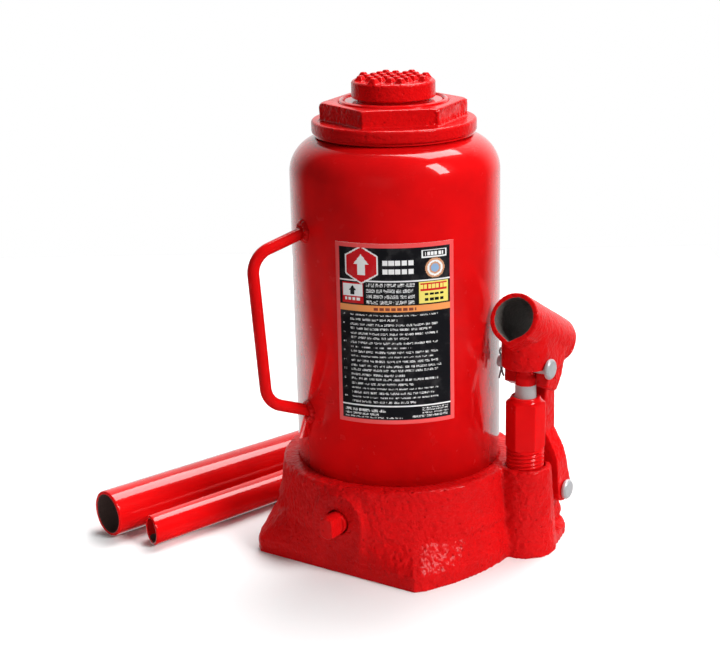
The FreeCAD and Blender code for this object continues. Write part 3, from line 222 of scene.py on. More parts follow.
class Nodes:
    """A small helper that wires one material's nodes."""

    def __init__(self, name):
        self.material = bpy.data.materials.new(name)
        self.material.use_nodes = True
        self.tree = self.material.node_tree
        self.shader = self.tree.nodes["Principled BSDF"]
        self.where = self.add("ShaderNodeTexCoord").outputs["Object"]

    def add(self, kind, **values):
        node = self.tree.nodes.new(kind)
        for key, value in values.items():
            if hasattr(node, key):
                setattr(node, key, value)
            else:
                node.inputs[key.replace("_", " ")].default_value = value
        return node

    def link(self, source, node, socket):
        self.tree.links.new(source, node.inputs[socket])

    def set(self, socket, value):
        if isinstance(value, bpy.types.NodeSocket):
            self.tree.links.new(value, self.shader.inputs[socket])
        else:
            self.shader.inputs[socket].default_value = value

    def noise(self, size, detail=2.0, roughness=0.5, stretch=None):
        """Noise whose lumps are about size metres across."""
        node = self.add("ShaderNodeTexNoise", Scale=1 / size, Detail=detail, Roughness=roughness)
        if stretch:
            mapping = self.add("ShaderNodeMapping")
            mapping.inputs["Scale"].default_value = stretch
            self.link(self.where, mapping, "Vector")
            self.link(mapping.outputs["Vector"], node, "Vector")
        else:
            self.link(self.where, node, "Vector")
        return node.outputs["Fac"]

    def pits(self, size, low, high):
        """Scattered small holes: 0 in a pit, 1 outside."""
        node = self.add("ShaderNodeTexVoronoi", Scale=1 / size)
        self.link(self.where, node, "Vector")
        return self.span(node.outputs["Distance"], low, high)

    def span(self, source, low, high, to_low=0.0, to_high=1.0):
        node = self.add("ShaderNodeMapRange")
        node.inputs["From Min"].default_value = low
        node.inputs["From Max"].default_value = high
        node.inputs["To Min"].default_value = to_low
        node.inputs["To Max"].default_value = to_high
        self.link(source, node, "Value")
        return node.outputs["Result"]

    def mix(self, factor, first, second):
        node = self.add("ShaderNodeMix", data_type="RGBA")
        for socket, value in ((0, factor), (6, first), (7, second)):
            if isinstance(value, bpy.types.NodeSocket):
                self.tree.links.new(value, node.inputs[socket])
            elif socket == 0:
                node.inputs[socket].default_value = value
            else:
                node.inputs[socket].default_value = (*value, 1)
        return node.outputs[2]

    def bump(self, height, distance, strength, below=None):
        node = self.add("ShaderNodeBump", Strength=strength, Distance=distance)
        self.link(height, node, "Height")
        if below is not None:
            self.link(below, node, "Normal")
        return node.outputs["Normal"]

    def flag(self, name):
        return self.add("ShaderNodeAttribute", attribute_name=name).outputs["Fac"]

    def height(self):
        node = self.add("ShaderNodeSeparateXYZ")
        self.link(self.where, node, "Vector")
        return node.outputs["Z"]


RED = (0.74, 0.004, 0.005)
# darker red that paints the shade in the cast's pits
PIT_SHADE_RED = (0.46, 0.003, 0.004)
BARE_STEEL = (0.46, 0.45, 0.44)


def cast_skin_normal(nodes, cast, normal, colour):
    """Adds a sand mould's skin and pits to a material's normal, and painted shade (a darker red) in the pits."""
    skin = nodes.noise(2.3 * MM, 3, 0.55)
    normal = nodes.bump(skin, 1.3 * MM, cast, normal)
    pits = nodes.pits(4.4 * MM, 0.04, 0.20)
    normal = nodes.bump(pits, 0.45 * MM, 0.8 * cast, normal)
    # the pits' colour goes towards the darker red: painted shade in the pits
    return normal, nodes.mix(pits, PIT_SHADE_RED, colour)


def bare_mask(nodes, flag, height):
    """1 where the metal shows: where a point flag says so, or below a height with a ragged edge."""
    if flag:
        return nodes.flag(flag)
    edge = nodes.noise(1.1 * MM, 3)
    level = nodes.add("ShaderNodeMath", operation="MULTIPLY_ADD")
    nodes.link(edge, level, 0)
    level.inputs[1].default_value = 0.9 * MM
    nodes.link(nodes.height(), level, 2)
    return nodes.span(level.outputs[0], height, height + 0.1 * MM, 1, 0)


def enamel(name, cast=0.0, bare=None, bare_below=None, bare_colour=BARE_STEEL, bare_metal=1.0, brushed=False):
    """Glossy red enamel; cast sets how much of the sand mould shows through it.

    bare names a point flag, and bare_below a height, where the metal shows instead of the paint.
    """
    nodes = Nodes(name)
    thickness = nodes.noise(18 * MM, 3)
    thin = (RED[0] * (1 - 0.16 * cast), RED[1], RED[2])
    thick = (thin[0] * 0.86, RED[1], RED[2])
    colour = nodes.mix(nodes.span(thickness, 0.35, 0.7), thin, thick)
    peel = nodes.noise(1.6 * MM if cast else 2.6 * MM, 1)
    normal = nodes.bump(peel, 0.05 * MM, 0.35 if cast else 0.2)
    dull = 0.18 * cast
    clear = 1.0 - 0.8 * cast
    gloss = nodes.span(nodes.noise(6 * MM, 4), 0.3, 0.75, 0.16 + dull, 0.30 + dull)
    if cast:
        normal, colour = cast_skin_normal(nodes, cast, normal, colour)
    if bare or bare_below:
        mask = bare_mask(nodes, bare, bare_below)
        streaks = nodes.noise(0.9 * MM, 4, 0.6, (1, 1, 9) if brushed else None)
        steel = nodes.mix(streaks, tuple(c * 0.72 for c in bare_colour), tuple(c * 1.2 for c in bare_colour))
        colour = nodes.mix(mask, colour, steel)
        nodes.set("Metallic", nodes.span(mask, 0, 1, 0, bare_metal))
        rough = nodes.add("ShaderNodeMix", data_type="FLOAT")
        nodes.link(mask, rough, 0)
        nodes.link(gloss, rough, 2)
        rough.inputs[3].default_value = 0.42 if bare_metal > 0.5 else 0.62
        gloss = rough.outputs[0]
        nodes.set("Coat Weight", nodes.span(mask, 0, 1, clear, 0.0))
    else:
        nodes.set("Coat Weight", clear)
    nodes.set("Specular IOR Level", 0.08)
    nodes.set("Coat Roughness", 0.03 + 0.06 * cast)
    nodes.set("Base Color", colour)
    nodes.set("Roughness", gloss)
    nodes.set("Normal", normal)
    return nodes.material


def metal(name, colour, roughness, grain=0.8 * MM, stretch=None, depth=0.02 * MM, spots=0.25,
          metallic=1.0):
    """Bare metal with fine marks, a mottled tone and uneven gloss; dull plating is less metallic."""
    nodes = Nodes(name)
    marks = nodes.noise(grain, 5, 0.6, stretch)
    mottle = nodes.noise(4 * MM, 3)
    base = nodes.mix(marks, tuple(c * (1 - spots) for c in colour), colour)
    nodes.set("Base Color", nodes.mix(nodes.span(mottle, 0.4, 0.7), base, tuple(c * 0.8 for c in colour)))
    nodes.set("Metallic", metallic)
    nodes.set("Roughness", nodes.span(marks, 0.3, 0.7, roughness * 0.75, roughness * 1.3))
    nodes.set("Normal", nodes.bump(marks, depth, 0.5))
    return nodes.material


def rubber(name, colour, roughness=0.6):
    """Moulded rubber or plastic with a dusty bloom."""
    nodes = Nodes(name)
    bloom = nodes.noise(5 * MM, 4, 0.6)
    fine = nodes.noise(0.5 * MM, 2)
    dusty = tuple(c * 1.7 + 0.01 for c in colour)
    nodes.set("Base Color", nodes.mix(nodes.span(bloom, 0.4, 0.75), colour, dusty))
    nodes.set("Roughness", nodes.span(bloom, 0.3, 0.7, roughness, roughness + 0.2))
    nodes.set("Normal", nodes.bump(fine, 0.04 * MM, 0.4))
    return nodes.material


def print_ink(name):
    """The label: its ink is stored on the mesh, under a clear film."""
    nodes = Nodes(name)
    ink = nodes.add("ShaderNodeVertexColor", layer_name="ink").outputs["Color"]
    scuff = nodes.noise(7 * MM, 5, 0.65)
    tired = nodes.mix(nodes.span(scuff, 0.5, 0.8, 0, 0.12), ink, (0.35, 0.33, 0.33))
    nodes.set("Base Color", tired)
    nodes.set("Roughness", nodes.span(scuff, 0.3, 0.7, 0.34, 0.48))
    nodes.set("Specular IOR Level", 0.2)
    nodes.set("Coat Weight", 0.08)
    nodes.set("Coat Roughness", 0.2)
    nodes.set("Normal", nodes.bump(nodes.noise(9 * MM, 2), 0.08 * MM, 0.3))
    return nodes.material


SHEET_RED = enamel("enamel_sheet")
CAST_RED = enamel("enamel_cast", cast=1.0)
FINE_CAST_RED = enamel("enamel_fine_cast", cast=0.55)
ZINC = metal("zinc_plate", (0.74, 0.75, 0.77), 0.34, metallic=0.5)
POLISHED = metal("polished_steel", (0.72, 0.72, 0.74), 0.12, grain=2 * MM, depth=0.004 * MM, spots=0.06)
TURNED = metal("turned_steel", (0.50, 0.49, 0.48), 0.36, grain=0.7 * MM, stretch=(1, 1, 14))
SPRING = metal("spring_steel", (0.30, 0.30, 0.31), 0.38, metallic=0.5)
COPPER = metal("soft_copper", (0.78, 0.42, 0.28), 0.4)
BLACK_RUBBER = rubber("seal_rubber", (0.022, 0.022, 0.024))
GUIDE = rubber("guide_nylon", (0.05, 0.07, 0.10), 0.45)


# ---------------------------------------------------------------- the casting and its neighbours

def close_rim(mesh, tank_radius):
    """Draws the rim's inner edge in to the tank, where the paint has filled the gap."""
    rim_width = 3 * MM
    rim_depth = 5 * MM
    fill = 1.3 * MM
    rim_top = max(vertex.co.z for vertex in mesh.vertices if vertex.co.xy.length < tank_radius + 4 * MM)
    for vertex in mesh.vertices:
        reach = vertex.co.xy.length
        drop = rim_top - vertex.co.z
        if drop > rim_depth or not tank_radius - 1 * MM < reach < tank_radius + rim_width:
            continue
        nearness = 1 - max(0.0, reach - tank_radius) / rim_width
        vertex.co.xy *= 1 - fill * nearness / reach


def crease_bead(mesh, radius, height, reach, rise):
    """Raises a lumpy ridge of flash along the crease where the cup stands on the sloping skirt.

    It fades out before the plate's flat front and back, where the cup has no skirt.
    """
    end_gap = 4 * MM
    fade = 5 * MM
    lump_size = 5 * MM
    normals = [Vector(item.vector) for item in mesh.vertex_normals]
    for vertex, normal in zip(mesh.vertices, normals):
        offset = math.hypot(vertex.co.xy.length - radius, vertex.co.z - height)
        inside = (radius - end_gap - abs(vertex.co.y)) / fade
        if offset >= reach or inside <= 0:
            continue
        lump = 0.75 + 0.5 * noise.noise(vertex.co / lump_size)
        vertex.co += normal * rise * (1 - (offset / reach) ** 2) * lump * min(1.0, inside)


def base_casting():
    """The casting with rounded edges and a sand-cast skin, smooth where the tank sits."""
    tank_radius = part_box("reservoir_tank")[1][0]
    seat_radius = tank_radius + 1.2 * MM
    crease_radius = tank_radius + 10.8 * MM
    crease_height = 22.5 * MM
    sole = 1.0 * MM

    def cast_skin(point):
        if point.z < sole:
            return 0.0
        reach = math.hypot(point.x, point.y)
        return min(1.0, max(0.0, (reach - seat_radius) / (2 * MM)))

    mesh = softened("base_casting_skin", cad_copy("base_casting"), 0.85 * MM, 3, keep=0.62)
    crease_bead(mesh, crease_radius, crease_height, reach=3 * MM, rise=1.2 * MM)
    roughen(mesh, 0.26 * MM, 8 * MM, cast_skin)
    roughen(mesh, 0.32 * MM, 3.2 * MM, cast_skin, seed=4.0)
    close_rim(mesh, tank_radius)
    new_piece("base_casting_skin", mesh, JACK, CAST_RED, ["base_casting"])


def reservoir_tank():
    """Tank shell with its rolled shoulder."""
    low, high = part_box("reservoir_tank")
    radius = high[0]
    wall = 2.6 * MM
    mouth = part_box("tank_top_gasket")[1][0] - 1.6 * MM
    shoulder = 18 * MM
    centre_x = radius - shoulder
    centre_z = high[2] - 0.6 * MM - shoulder
    arc = [math.radians(72) * step / 20 for step in range(21)]
    outline = [(radius, low[2])]
    outline += [(centre_x + shoulder * math.cos(a), centre_z + shoulder * math.sin(a)) for a in arc]
    outline += [(mouth, high[2]), (mouth, high[2] - wall)]
    inner = shoulder - wall
    outline += [(centre_x + inner * math.cos(a), centre_z + inner * math.sin(a)) for a in reversed(arc)]
    outline += [(radius - wall, low[2])]
    mesh = lathe("tank_shell", outline, 256)
    new_piece("tank_shell", mesh, JACK, SHEET_RED, ["reservoir_tank"])


def top_nut():
    """Flanged nut: rough forged flats under thick paint."""
    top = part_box("top_nut")[1][2]
    flange_top = top - 8.6 * MM
    edge = 0.6 * MM
    flats_reach = 31.5 * MM
    smooth_side = studio(-0.12, -1, 0)
    half_flat = 0.83

    def forged(point):
        reach = math.hypot(point.x, point.y)
        if not flange_top + edge < point.z < top - edge or reach < flats_reach:
            return 0.0
        facing = (point.x * smooth_side.x + point.y * smooth_side.y) / reach
        return 0.12 if facing > half_flat else 1.0

    mesh = softened("top_nut_forging", cad_copy("top_nut"), 0.55 * MM, 3, keep=0.6)
    roughen(mesh, 0.5 * MM, 1.3 * MM, forged, seed=2.0)
    new_piece("top_nut_forging", mesh, JACK, FINE_CAST_RED, ["top_nut"])


def weld_beads():
    """Rippled fillet weld round each foot of the carry handle."""
    bm = bmesh.new()
    low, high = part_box("handle_welds")
    tank_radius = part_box("reservoir_tank")[1][0]
    centre = Vector(((low[0] + high[0]) / 2, (low[1] + high[1]) / 2, 0))
    outward = centre.normalized()
    across = Vector((0, 0, 1)).cross(outward)
    bead_height = 10.4 * MM
    ring_radius = 4.1 * MM
    sunk = 0.35 * MM
    turns, sides, ribs = 96, 12, 14
    for number, middle in enumerate((high[2] - bead_height / 2, low[2] + bead_height / 2)):
        rings = []
        for k in range(turns):
            angle = 2 * math.pi * k / turns
            radial = across * math.cos(angle) + Vector((0, 0, 1)) * math.sin(angle)
            wave = abs(math.sin(angle * ribs / 2 + number))
            lump = noise.noise(Vector((angle * 2, number * 7.0, 0)))
            bead = (1.75 + 0.28 * wave + 0.35 * lump) * MM
            side_reach = ring_radius * math.cos(angle)
            surface = math.sqrt(tank_radius ** 2 - side_reach ** 2)
            spot = outward * (surface - sunk) + radial * ring_radius
            spot.z += middle
            rings.append([bm.verts.new(spot + (radial * math.cos(b) + outward * math.sin(b)) * bead)
                          for b in (2 * math.pi * j / sides for j in range(sides))])
        for first, second in zip(rings, rings[1:] + rings[:1]):
            for j in range(sides):
                bm.faces.new((first[j], first[(j + 1) % sides], second[(j + 1) % sides], second[j]))
    mesh = mesh_from("weld_beads", bm)
    new_piece("weld_beads", mesh, JACK, FINE_CAST_RED, ["handle_welds"])


def release_valve():
    """Release valve's head under paint, its corners soft."""
    mesh = softened("release_valve_painted", cad_copy("release_valve"), 0.26 * MM, 3)
    new_piece("release_valve_painted", mesh, "valve_body", FINE_CAST_RED, ["release_valve"])


# ---------------------------------------------------------------- screw and saddle

def thread_radius(height, angle, pitch, root, crest):
    """Radius of a rounded trapezoid thread at a height and an angle."""
    phase = (height / pitch - angle / (2 * math.pi)) % 1.0
    rise = min(1.0, max(0.0, (0.5 - abs(phase - 0.5)) * 5.0 - 0.75))
    return root + (crest - root) * (rise * rise * (3 - 2 * rise))


def helical_screw():
    """The extension screw's thread as a real helix, from its end to under the saddle."""
    low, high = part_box("extension_screw")
    crest = 18 * MM
    root = 16.6 * MM
    pitch = 4 * MM
    chamfer_top = low[2] + 0.8 * MM
    groove_top = low[2] + 3.4 * MM
    thread_start = low[2] + 10 * MM
    fade = 3 * MM
    neck_bottom = high[2] - 15.2 * MM
    neck_top = high[2] - 11.6 * MM
    rows, segments = 400, 96

    def radius_at(height, angle):
        if height > neck_bottom:
            return crest - 0.2 * MM
        if height < chamfer_top:
            return root - 1.8 * MM + (height - low[2])
        if height < groove_top:
            return root - 1 * MM
        radius = thread_radius(height, angle, pitch, root, crest)
        if height < thread_start:
            radius = root + (radius - root) * max(0, 1 - (thread_start - height) / fade)
        return radius

    bm = bmesh.new()
    rings = []
    for row in range(rows + 1):
        height = low[2] + (neck_top - low[2]) * row / rows
        ring = []
        for k in range(segments):
            angle = 2 * math.pi * k / segments
            radius = radius_at(height, angle)
            ring.append(bm.verts.new((radius * math.cos(angle), radius * math.sin(angle), height)))
        rings.append(ring)
    for first, second in zip(rings, rings[1:]):
        for k in range(segments):
            after = (k + 1) % segments
            bm.faces.new((first[k], first[after], second[after], second[k]))
    bm.faces.new(rings[0])
    bm.faces.new(reversed(rings[-1]))
    mesh = mesh_from("helical_screw", bm)
    painted = enamel("enamel_screw_neck", bare_below=high[2] - 14.5 * MM, bare_metal=0.5)
    new_piece("helical_screw", mesh, "screw_body", painted, ["extension_screw"])


def saddle():
    """Round saddle with soft-topped grip bumps."""
    neck_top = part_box("extension_screw")[1][2] - 11.9 * MM
    mesh = softened("load_saddle", cad_copy("extension_screw", neck_top), 0.33 * MM, 4)
    roughen(mesh, 0.03 * MM, 2.5 * MM, seed=9.0)
    new_piece("load_saddle", mesh, "screw_body", FINE_CAST_RED)


# ---------------------------------------------------------------- pump and lever

def pump_cylinder():
    """Pump body: painted hexagon with worn corners and a helical thread under it."""
    low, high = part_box("pump_cylinder")
    axis_x = (low[0] + high[0]) / 2
    axis_y = (low[1] + high[1]) / 2
    hex_bottom = low[2] + 35 * MM
    pitch = 35 / 17 * MM
    root = 8.9 * MM
    crest = 9.7 * MM
    bore_reach = 8.2 * MM
    mesh = softened("pump_body", cad_copy("pump_cylinder"), 0.36 * MM, 3, keep=0.8)
    for vertex in mesh.vertices:
        x = vertex.co.x - axis_x
        y = vertex.co.y - axis_y
        reach = math.hypot(x, y)
        if reach < bore_reach or not low[2] + 1 * MM < vertex.co.z < hex_bottom - 0.3 * MM:
            continue
        angle = math.atan2(y, x)
        wanted = thread_radius(vertex.co.z, angle, pitch, root, crest)
        vertex.co.x = axis_x + x * wanted / reach
        vertex.co.y = axis_y + y * wanted / reach
    new_piece("pump_body", mesh, JACK, SHEET_RED, ["pump_cylinder"])


def plunger():
    """Plunger: bare bright steel where it runs, red enamel above a height."""
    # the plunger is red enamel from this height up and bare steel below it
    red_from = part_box("pump_plunger")[1][2] - 13.9 * MM
    mesh = softened("plunger_rod", cad_copy("pump_plunger"), 0.3 * MM, 2)
    painted = enamel("enamel_plunger", bare_below=red_from, bare_colour=(0.62, 0.62, 0.62),
                     bare_metal=0.45, brushed=True)
    new_piece("plunger_rod", mesh, "plunger_body", painted, ["pump_plunger"])


def handle_socket():
    """Cast socket: raw dark bore inside, thick paint outside."""
    record = frame["record"]
    mount = next(item for item in record["mounts"] if item["name"] == "handle_socket")
    origin = Vector(mount["pos_m"])
    axis = Vector(mount["axis"]).normalized()
    bore = mount["dims"]["r_mm"] * MM
    half_length = mount["dims"]["length_mm"] * MM / 2
    down = Vector((0, 0, -1))
    down = (down - axis * down.dot(axis)).normalized()
    vee_tip = 13.6 * MM
    vee_slope = 0.9

    def raw(point):
        offset = point - origin
        along = offset.dot(axis)
        radial = offset - axis * along
        sideways = abs(radial.x)
        depth = radial.dot(down)
        if abs(along) > half_length - 0.2 * MM:
            return 0
        if radial.length < bore + 0.45 * MM:
            return 1
        return 1 if depth > 0 and sideways < (vee_tip - depth) * vee_slope else 0

    def outside(point):
        return 0.0 if raw(point) else 1.0

    mesh = softened("handle_socket_casting", cad_copy("handle_socket"), 0.42 * MM, 4)
    roughen(mesh, 0.12 * MM, 6 * MM, outside, seed=1.0)
    roughen(mesh, 0.04 * MM, 2 * MM, outside, seed=6.0)
    flagged(mesh, "raw", raw)
    material = enamel("enamel_socket", cast=0.7, bare="raw", bare_colour=(0.13, 0.115, 0.105), bare_metal=0.2)
    new_piece("handle_socket_casting", mesh, "socket_body", material, ["handle_socket"])


def link():
    """Forked link, cast like the base."""
    mesh = softened("link_casting", cad_copy("link"), 0.4 * MM, 4)
    roughen(mesh, 0.12 * MM, 5 * MM, seed=3.0)
    roughen(mesh, 0.04 * MM, 2 * MM, seed=8.0)
    new_piece("link_casting", mesh, "link_body", FINE_CAST_RED, ["link"])


def pins():
    """Zinc-plated pins with soft-edged heads."""
    for node, body in (("plunger_pin", "plunger_body"), ("link_lower_pin", JACK)):
        name = node + "_zinc"
        mesh = softened(name, cad_copy(node), 0.22 * MM, 3)
        new_piece(name, mesh, body, ZINC, [node])


def split_pins():
    """Split pins: wire folded into an eye, its legs bent apart below."""
    gap_mm, flare_mm = 0.45, 1.9
    eye_start, eye_sweep = -78, 168
    leg_steps, eye_steps = 5, 8
    for node, body in (("plunger_pin_cotter", "plunger_body"), ("link_lower_cotter", JACK)):
        low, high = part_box(node)
        x = (low[0] + high[0]) / 2
        y = (low[1] + high[1]) / 2
        wire = 0.5 * MM
        eye = 1.65 * MM
        top = high[2] - eye - wire
        foot = low[2] + wire
        bend = low[2] + 4.9 * MM
        bm = bmesh.new()
        points = []
        for side in (-1, 1):
            half = []
            for step in range(leg_steps + 1):
                t = step / leg_steps
                spread = (gap_mm + flare_mm * (1 - t) ** 1.4) * MM
                half.append(Vector((x, y + side * spread, foot + (bend - low[2] - wire) * t)))
            half.append(Vector((x, y + side * gap_mm * MM, top - eye - 0.8 * MM)))
            for step in range(eye_steps + 1):
                angle = math.radians(eye_start + step * eye_sweep / eye_steps)
                half.append(Vector((x, y + side * eye * math.cos(angle), top + eye * math.sin(angle))))
            points += half if side < 0 else half[::-1][1:]
        tube(bm, points, wire, 8)
        mesh = mesh_from(node + "_wire", bm)
        new_piece(node + "_wire", mesh, body, SPRING, [node])


# ---------------------------------------------------------------- loose tubes, plug, label

def handle_tubes():
    """Loose handle tubes: paint outside, raw steel in the bore and round its mouth."""
    for node, body in (("handle_tube_large", "tube_large_body"), ("handle_tube_small", "tube_small_body")):
        joint = next(item for item in frame["joints"] if item["child"] == body)
        along = -Vector(joint["axis"]).normalized()
        low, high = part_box(node)
        radius = (high[2] - low[2]) / 2
        centre = Vector(((low[0] + high[0]) / 2, (low[1] + high[1]) / 2, radius))
        wall = 2.0 * MM if node.endswith("large") else 1.8 * MM

        def raw(point):
            offset = point - centre
            radial = offset - along * offset.dot(along)
            return 1 if radial.length < radius - wall + 0.25 * MM else 0

        mesh = softened(node + "_painted", cad_copy(node), 0.5 * MM, 2, keep=0.4)
        flagged(mesh, "raw", raw)
        material = enamel("enamel_" + node, bare="raw", bare_colour=(0.16, 0.10, 0.09), bare_metal=0.5)
        new_piece(node + "_painted", mesh, body, material, [node])


def filler_plug():
    """Moulded filler plug with a gripping rim."""
    low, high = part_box("filler_plug")
    radius = (high[0] - low[0]) / 2
    z = (high[2] + low[2]) / 2
    depth = high[1] - low[1]

    def grip(angle, height):
        return 0.22 * MM * math.cos(24 * angle) if height > depth * 0.62 else 0

    outline = fillet([
        (0, 0, 0),
        (radius * 0.5, 0, 0.3 * MM),
        (radius * 0.64, 1.0 * MM, 0.2 * MM),
        (radius * 0.64, depth - 2.8 * MM, 0),
        (radius - 0.3 * MM, depth - 2.8 * MM, 0.2 * MM),
        (radius - 0.3 * MM, depth - 1.6 * MM, 0.5 * MM),
        (radius * 0.8, depth, 0.6 * MM),
        (radius * 0.3, depth, 0.3 * MM),
        (radius * 0.26, depth - 0.5 * MM, 0.2 * MM),
        (0, depth - 0.5 * MM, 0),
    ], 4)
    mesh = lathe("filler_plug_moulding", outline, 144, grip)
    mesh.transform(Matrix.Translation((0, low[1], z)) @ Matrix.Rotation(-math.pi / 2, 4, "X"))
    new_piece("filler_plug_moulding", mesh, JACK, BLACK_RUBBER, ["filler_plug"])


WHITE = (0.85, 0.85, 0.85)
BLACK = (0.008, 0.008, 0.010)
BORDER = (0.86, 0.09, 0.09)
INK_RED = (0.62, 0.01, 0.015)
ORANGE = (0.86, 0.32, 0.10)
BROWN = (0.25, 0.05, 0.03)
YELLOW = (0.85, 0.72, 0.16)
BADGE = (0.62, 0.30, 0.16)
BADGE_BLUE = (0.25, 0.40, 0.62)


def label_bars(width, height):
    """Rows of plain blocks where a real label has its words: (left, right, top, bottom, colour)."""
    dice = random.Random(7)
    bars = []

    def row(left, right, top, size, longest, gap, fill=1.0):
        start = left
        while start < right * fill:
            end = min(start + longest * (0.35 + 0.65 * dice.random()), right * fill)
            bars.append((start, end, top, top + size, WHITE))
            start = end + gap

    for top in (19.4, 22.2, 25.0, 27.8):
        row(15.8, 39.4, top, size=1.9, longest=7.5, gap=0.7)
    pitch = 2.32
    for line in range(20):
        top = 34.9 + line * pitch
        first_of_pair = line % 2 == 0
        if first_of_pair:
            row(3.6, 4.9, top, size=0.8, longest=1.2, gap=0.6)
        fill = 0.95 if first_of_pair else 0.55 + 0.45 * dice.random()
        row(7.4, 53.5, top, size=1.0, longest=5.2, gap=0.75, fill=fill)
    row(3.4, 24.5, height - 7.6, size=1.5, longest=6.0, gap=0.6)
    row(3.4, 21.0, height - 5.4, size=1.1, longest=5.0, gap=0.6)
    row(3.4, 33.0, height - 3.6, size=0.6, longest=3.5, gap=0.5)
    for line in range(3):
        row(42.5, width - 3.4, height - 8.2 + line * 1.2, size=0.7, longest=3.0, gap=0.4)
    row(37.5, width - 3.4, height - 4.4, size=1.3, longest=4.5, gap=0.5)
    return bars


# The label's parts give their colour at u millimetres from its left edge and v below its top, or None
# where they don't reach. None of them holds any lettering.

def within(u, v, left, right, top, bottom):
    return left < u < right and top < v < bottom


def hexagon_badge(u, v):
    """Red hexagon with a white rim and a white arrow pointing up."""
    across, down = abs(u - 13.6), abs(v - 10.6)
    reach = max(across, across / 2 + down * 0.866)
    if reach >= 8.2:
        return None
    rim = reach > 7.5
    head = across < (v - 5.4) * 0.8 and v < 10.4
    shaft = across < 1.9 and 10.0 < v < 15.4
    return WHITE if rim or head or shaft else INK_RED


def block_rows(u, v):
    """Two rows of white blocks right of the hexagon."""
    left, right = 24.0, 39.0
    if within(u, v, left, right, 8.0, 10.6) or within(u, v, left, right, 12.4, 15.0):
        return WHITE if (u - left) % 3.1 < 2.5 else BLACK
    return None


def corner_box(u, v, width):
    """White frame round a row of small blocks."""
    if not within(u, v, 43.0, width - 4, 3.4, 7.4):
        return None
    field = within(u, v, 43.5, width - 4.5, 3.9, 6.9)
    block = within(u, v, 44.6, width - 5.8, 4.6, 6.2) and u % 1.9 < 1.4
    return WHITE if block or not field else BLACK


def round_badge(u, v):
    """Brown disc with a blue middle and a white ring."""
    reach = math.hypot(u - 49.6, v - 12.6)
    if reach >= 4.9:
        return None
    if reach < 2.1:
        return BADGE_BLUE
    return WHITE if 2.9 < reach < 3.9 else BADGE


def white_rules(v, height):
    """One thin line under the badges and one above the foot of the label."""
    upper = 18.2 < v < 18.7
    lower = height - 9.4 < v < height - 9.0
    return WHITE if upper or lower else None


def arrow_panel(u, v):
    """Red panel with a black arrow on a white plate and a row of blocks under it."""
    if not within(u, v, 3.4, 14.6, 19.4, 29.6):
        return None
    if within(u, v, 4.0, 14.0, 20.0, 26.2):
        across = abs(u - 9.0)
        head = across < (v - 20.8) * 0.75 and v < 23.4
        shaft = across < 1.1 and 23.0 < v < 25.6
        return BLACK if head or shaft else WHITE
    block = within(u, v, 5.0, 13.0, 27.0, 28.4) and u % 2.2 < 1.6
    return WHITE if block else INK_RED


def yellow_panel(u, v, width):
    """Yellow panel with a red heading and two rows of black blocks."""
    if not within(u, v, 41.6, width - 3.2, 19.2, 29.8):
        return None
    if within(u, v, 42.2, width - 3.8, 19.8, 23.6):
        block = abs(v - 21.7) <= 1.0 and u % 2.0 <= 1.5
        return YELLOW if block else INK_RED
    left, right = 44.0, width - 5.6
    in_row = within(u, v, left, right, 24.6, 25.9) or within(u, v, left, right, 27.2, 28.6)
    return BLACK if in_row and u % 2.6 < 2.0 else YELLOW


def orange_band(u, v):
    """Band across the whole label with a row of brown blocks."""
    if not 30.6 < v < 33.6:
        return None
    block = within(u, v, 19.5, 40.0, 31.4, 32.9) and u % 2.8 < 2.1
    return BROWN if block else ORANGE


def label_ink(u, v, width, height, bars):
    """The label's colour at one dot; parts named first lie on top."""
    edge = 2.3
    if not within(u, v, edge, width - edge, edge, height - edge):
        return BORDER
    ink = (hexagon_badge(u, v) or block_rows(u, v) or corner_box(u, v, width) or round_badge(u, v)
           or white_rules(v, height) or arrow_panel(u, v) or yellow_panel(u, v, width) or orange_band(u, v))
    if ink:
        return ink
    for left, right, top, bottom, colour in bars:
        if within(u, v, left, right, top, bottom):
            fleck = noise.cell(Vector((u * 1.9, v * 2.7, 0.5)))
            return tuple(c * (0.45 + 0.55 * fleck) for c in colour)
    return BLACK


def label():
    """Printed sheet round the tank, one small face for each dot of ink."""
    low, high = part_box("label")
    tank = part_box("reservoir_tank")[1][0]
    outer = tank + 0.2 * MM
    start = math.atan2(-math.sqrt(max(0.0, outer ** 2 - low[0] ** 2)), low[0])
    end = math.atan2(high[1], math.sqrt(outer ** 2 - high[1] ** 2))
    width = (end - start) * outer / MM
    height = (high[2] - low[2]) / MM
    columns, rows = 168, 256
    bars = label_bars(width, height)
    bm = bmesh.new()
    layer = bm.loops.layers.float_color.new("ink")
    sheets = []
    for radius in (outer, tank + 0.02 * MM):
        grid = []
        for row in range(rows + 1):
            z = high[2] - (high[2] - low[2]) * row / rows
            line = []
            for column in range(columns + 1):
                angle = start + (end - start) * column / columns
                line.append(bm.verts.new((radius * math.cos(angle), radius * math.sin(angle), z)))
            grid.append(line)
        sheets.append(grid)
    front, back = sheets
    for row in range(rows):
        v = (row + 0.5) * height / rows
        for column in range(columns):
            u = (column + 0.5) * width / columns
            face = bm.faces.new((front[row][column], front[row][column + 1],
                                 front[row + 1][column + 1], front[row + 1][column]))
            ink = label_ink(u, v, width, height, bars)
            for loop in face.loops:
                loop[layer] = (*ink, 1)
            bm.faces.new((back[row][column], back[row + 1][column],
                          back[row + 1][column + 1], back[row][column + 1]))
    for row in range(rows):
        for column in (0, columns):
            bm.faces.new((front[row][column], front[row + 1][column],
                          back[row + 1][column], back[row][column]))
    for column in range(columns):
        for row in (0, rows):
            bm.faces.new((front[row][column], front[row][column + 1],
                          back[row][column + 1], back[row][column]))
    mesh = mesh_from("printed_label", bm)
    new_piece("printed_label", mesh, JACK, print_ink("label_print"), ["label"])


# ---------------------------------------------------------------- carried-over CAD nodes

def dress(material, *names):
    """Gives CAD nodes a better material."""
    for name in names:
        mesh = frame["nodes"][name].data
        mesh.materials.clear()
        mesh.materials.append(material)


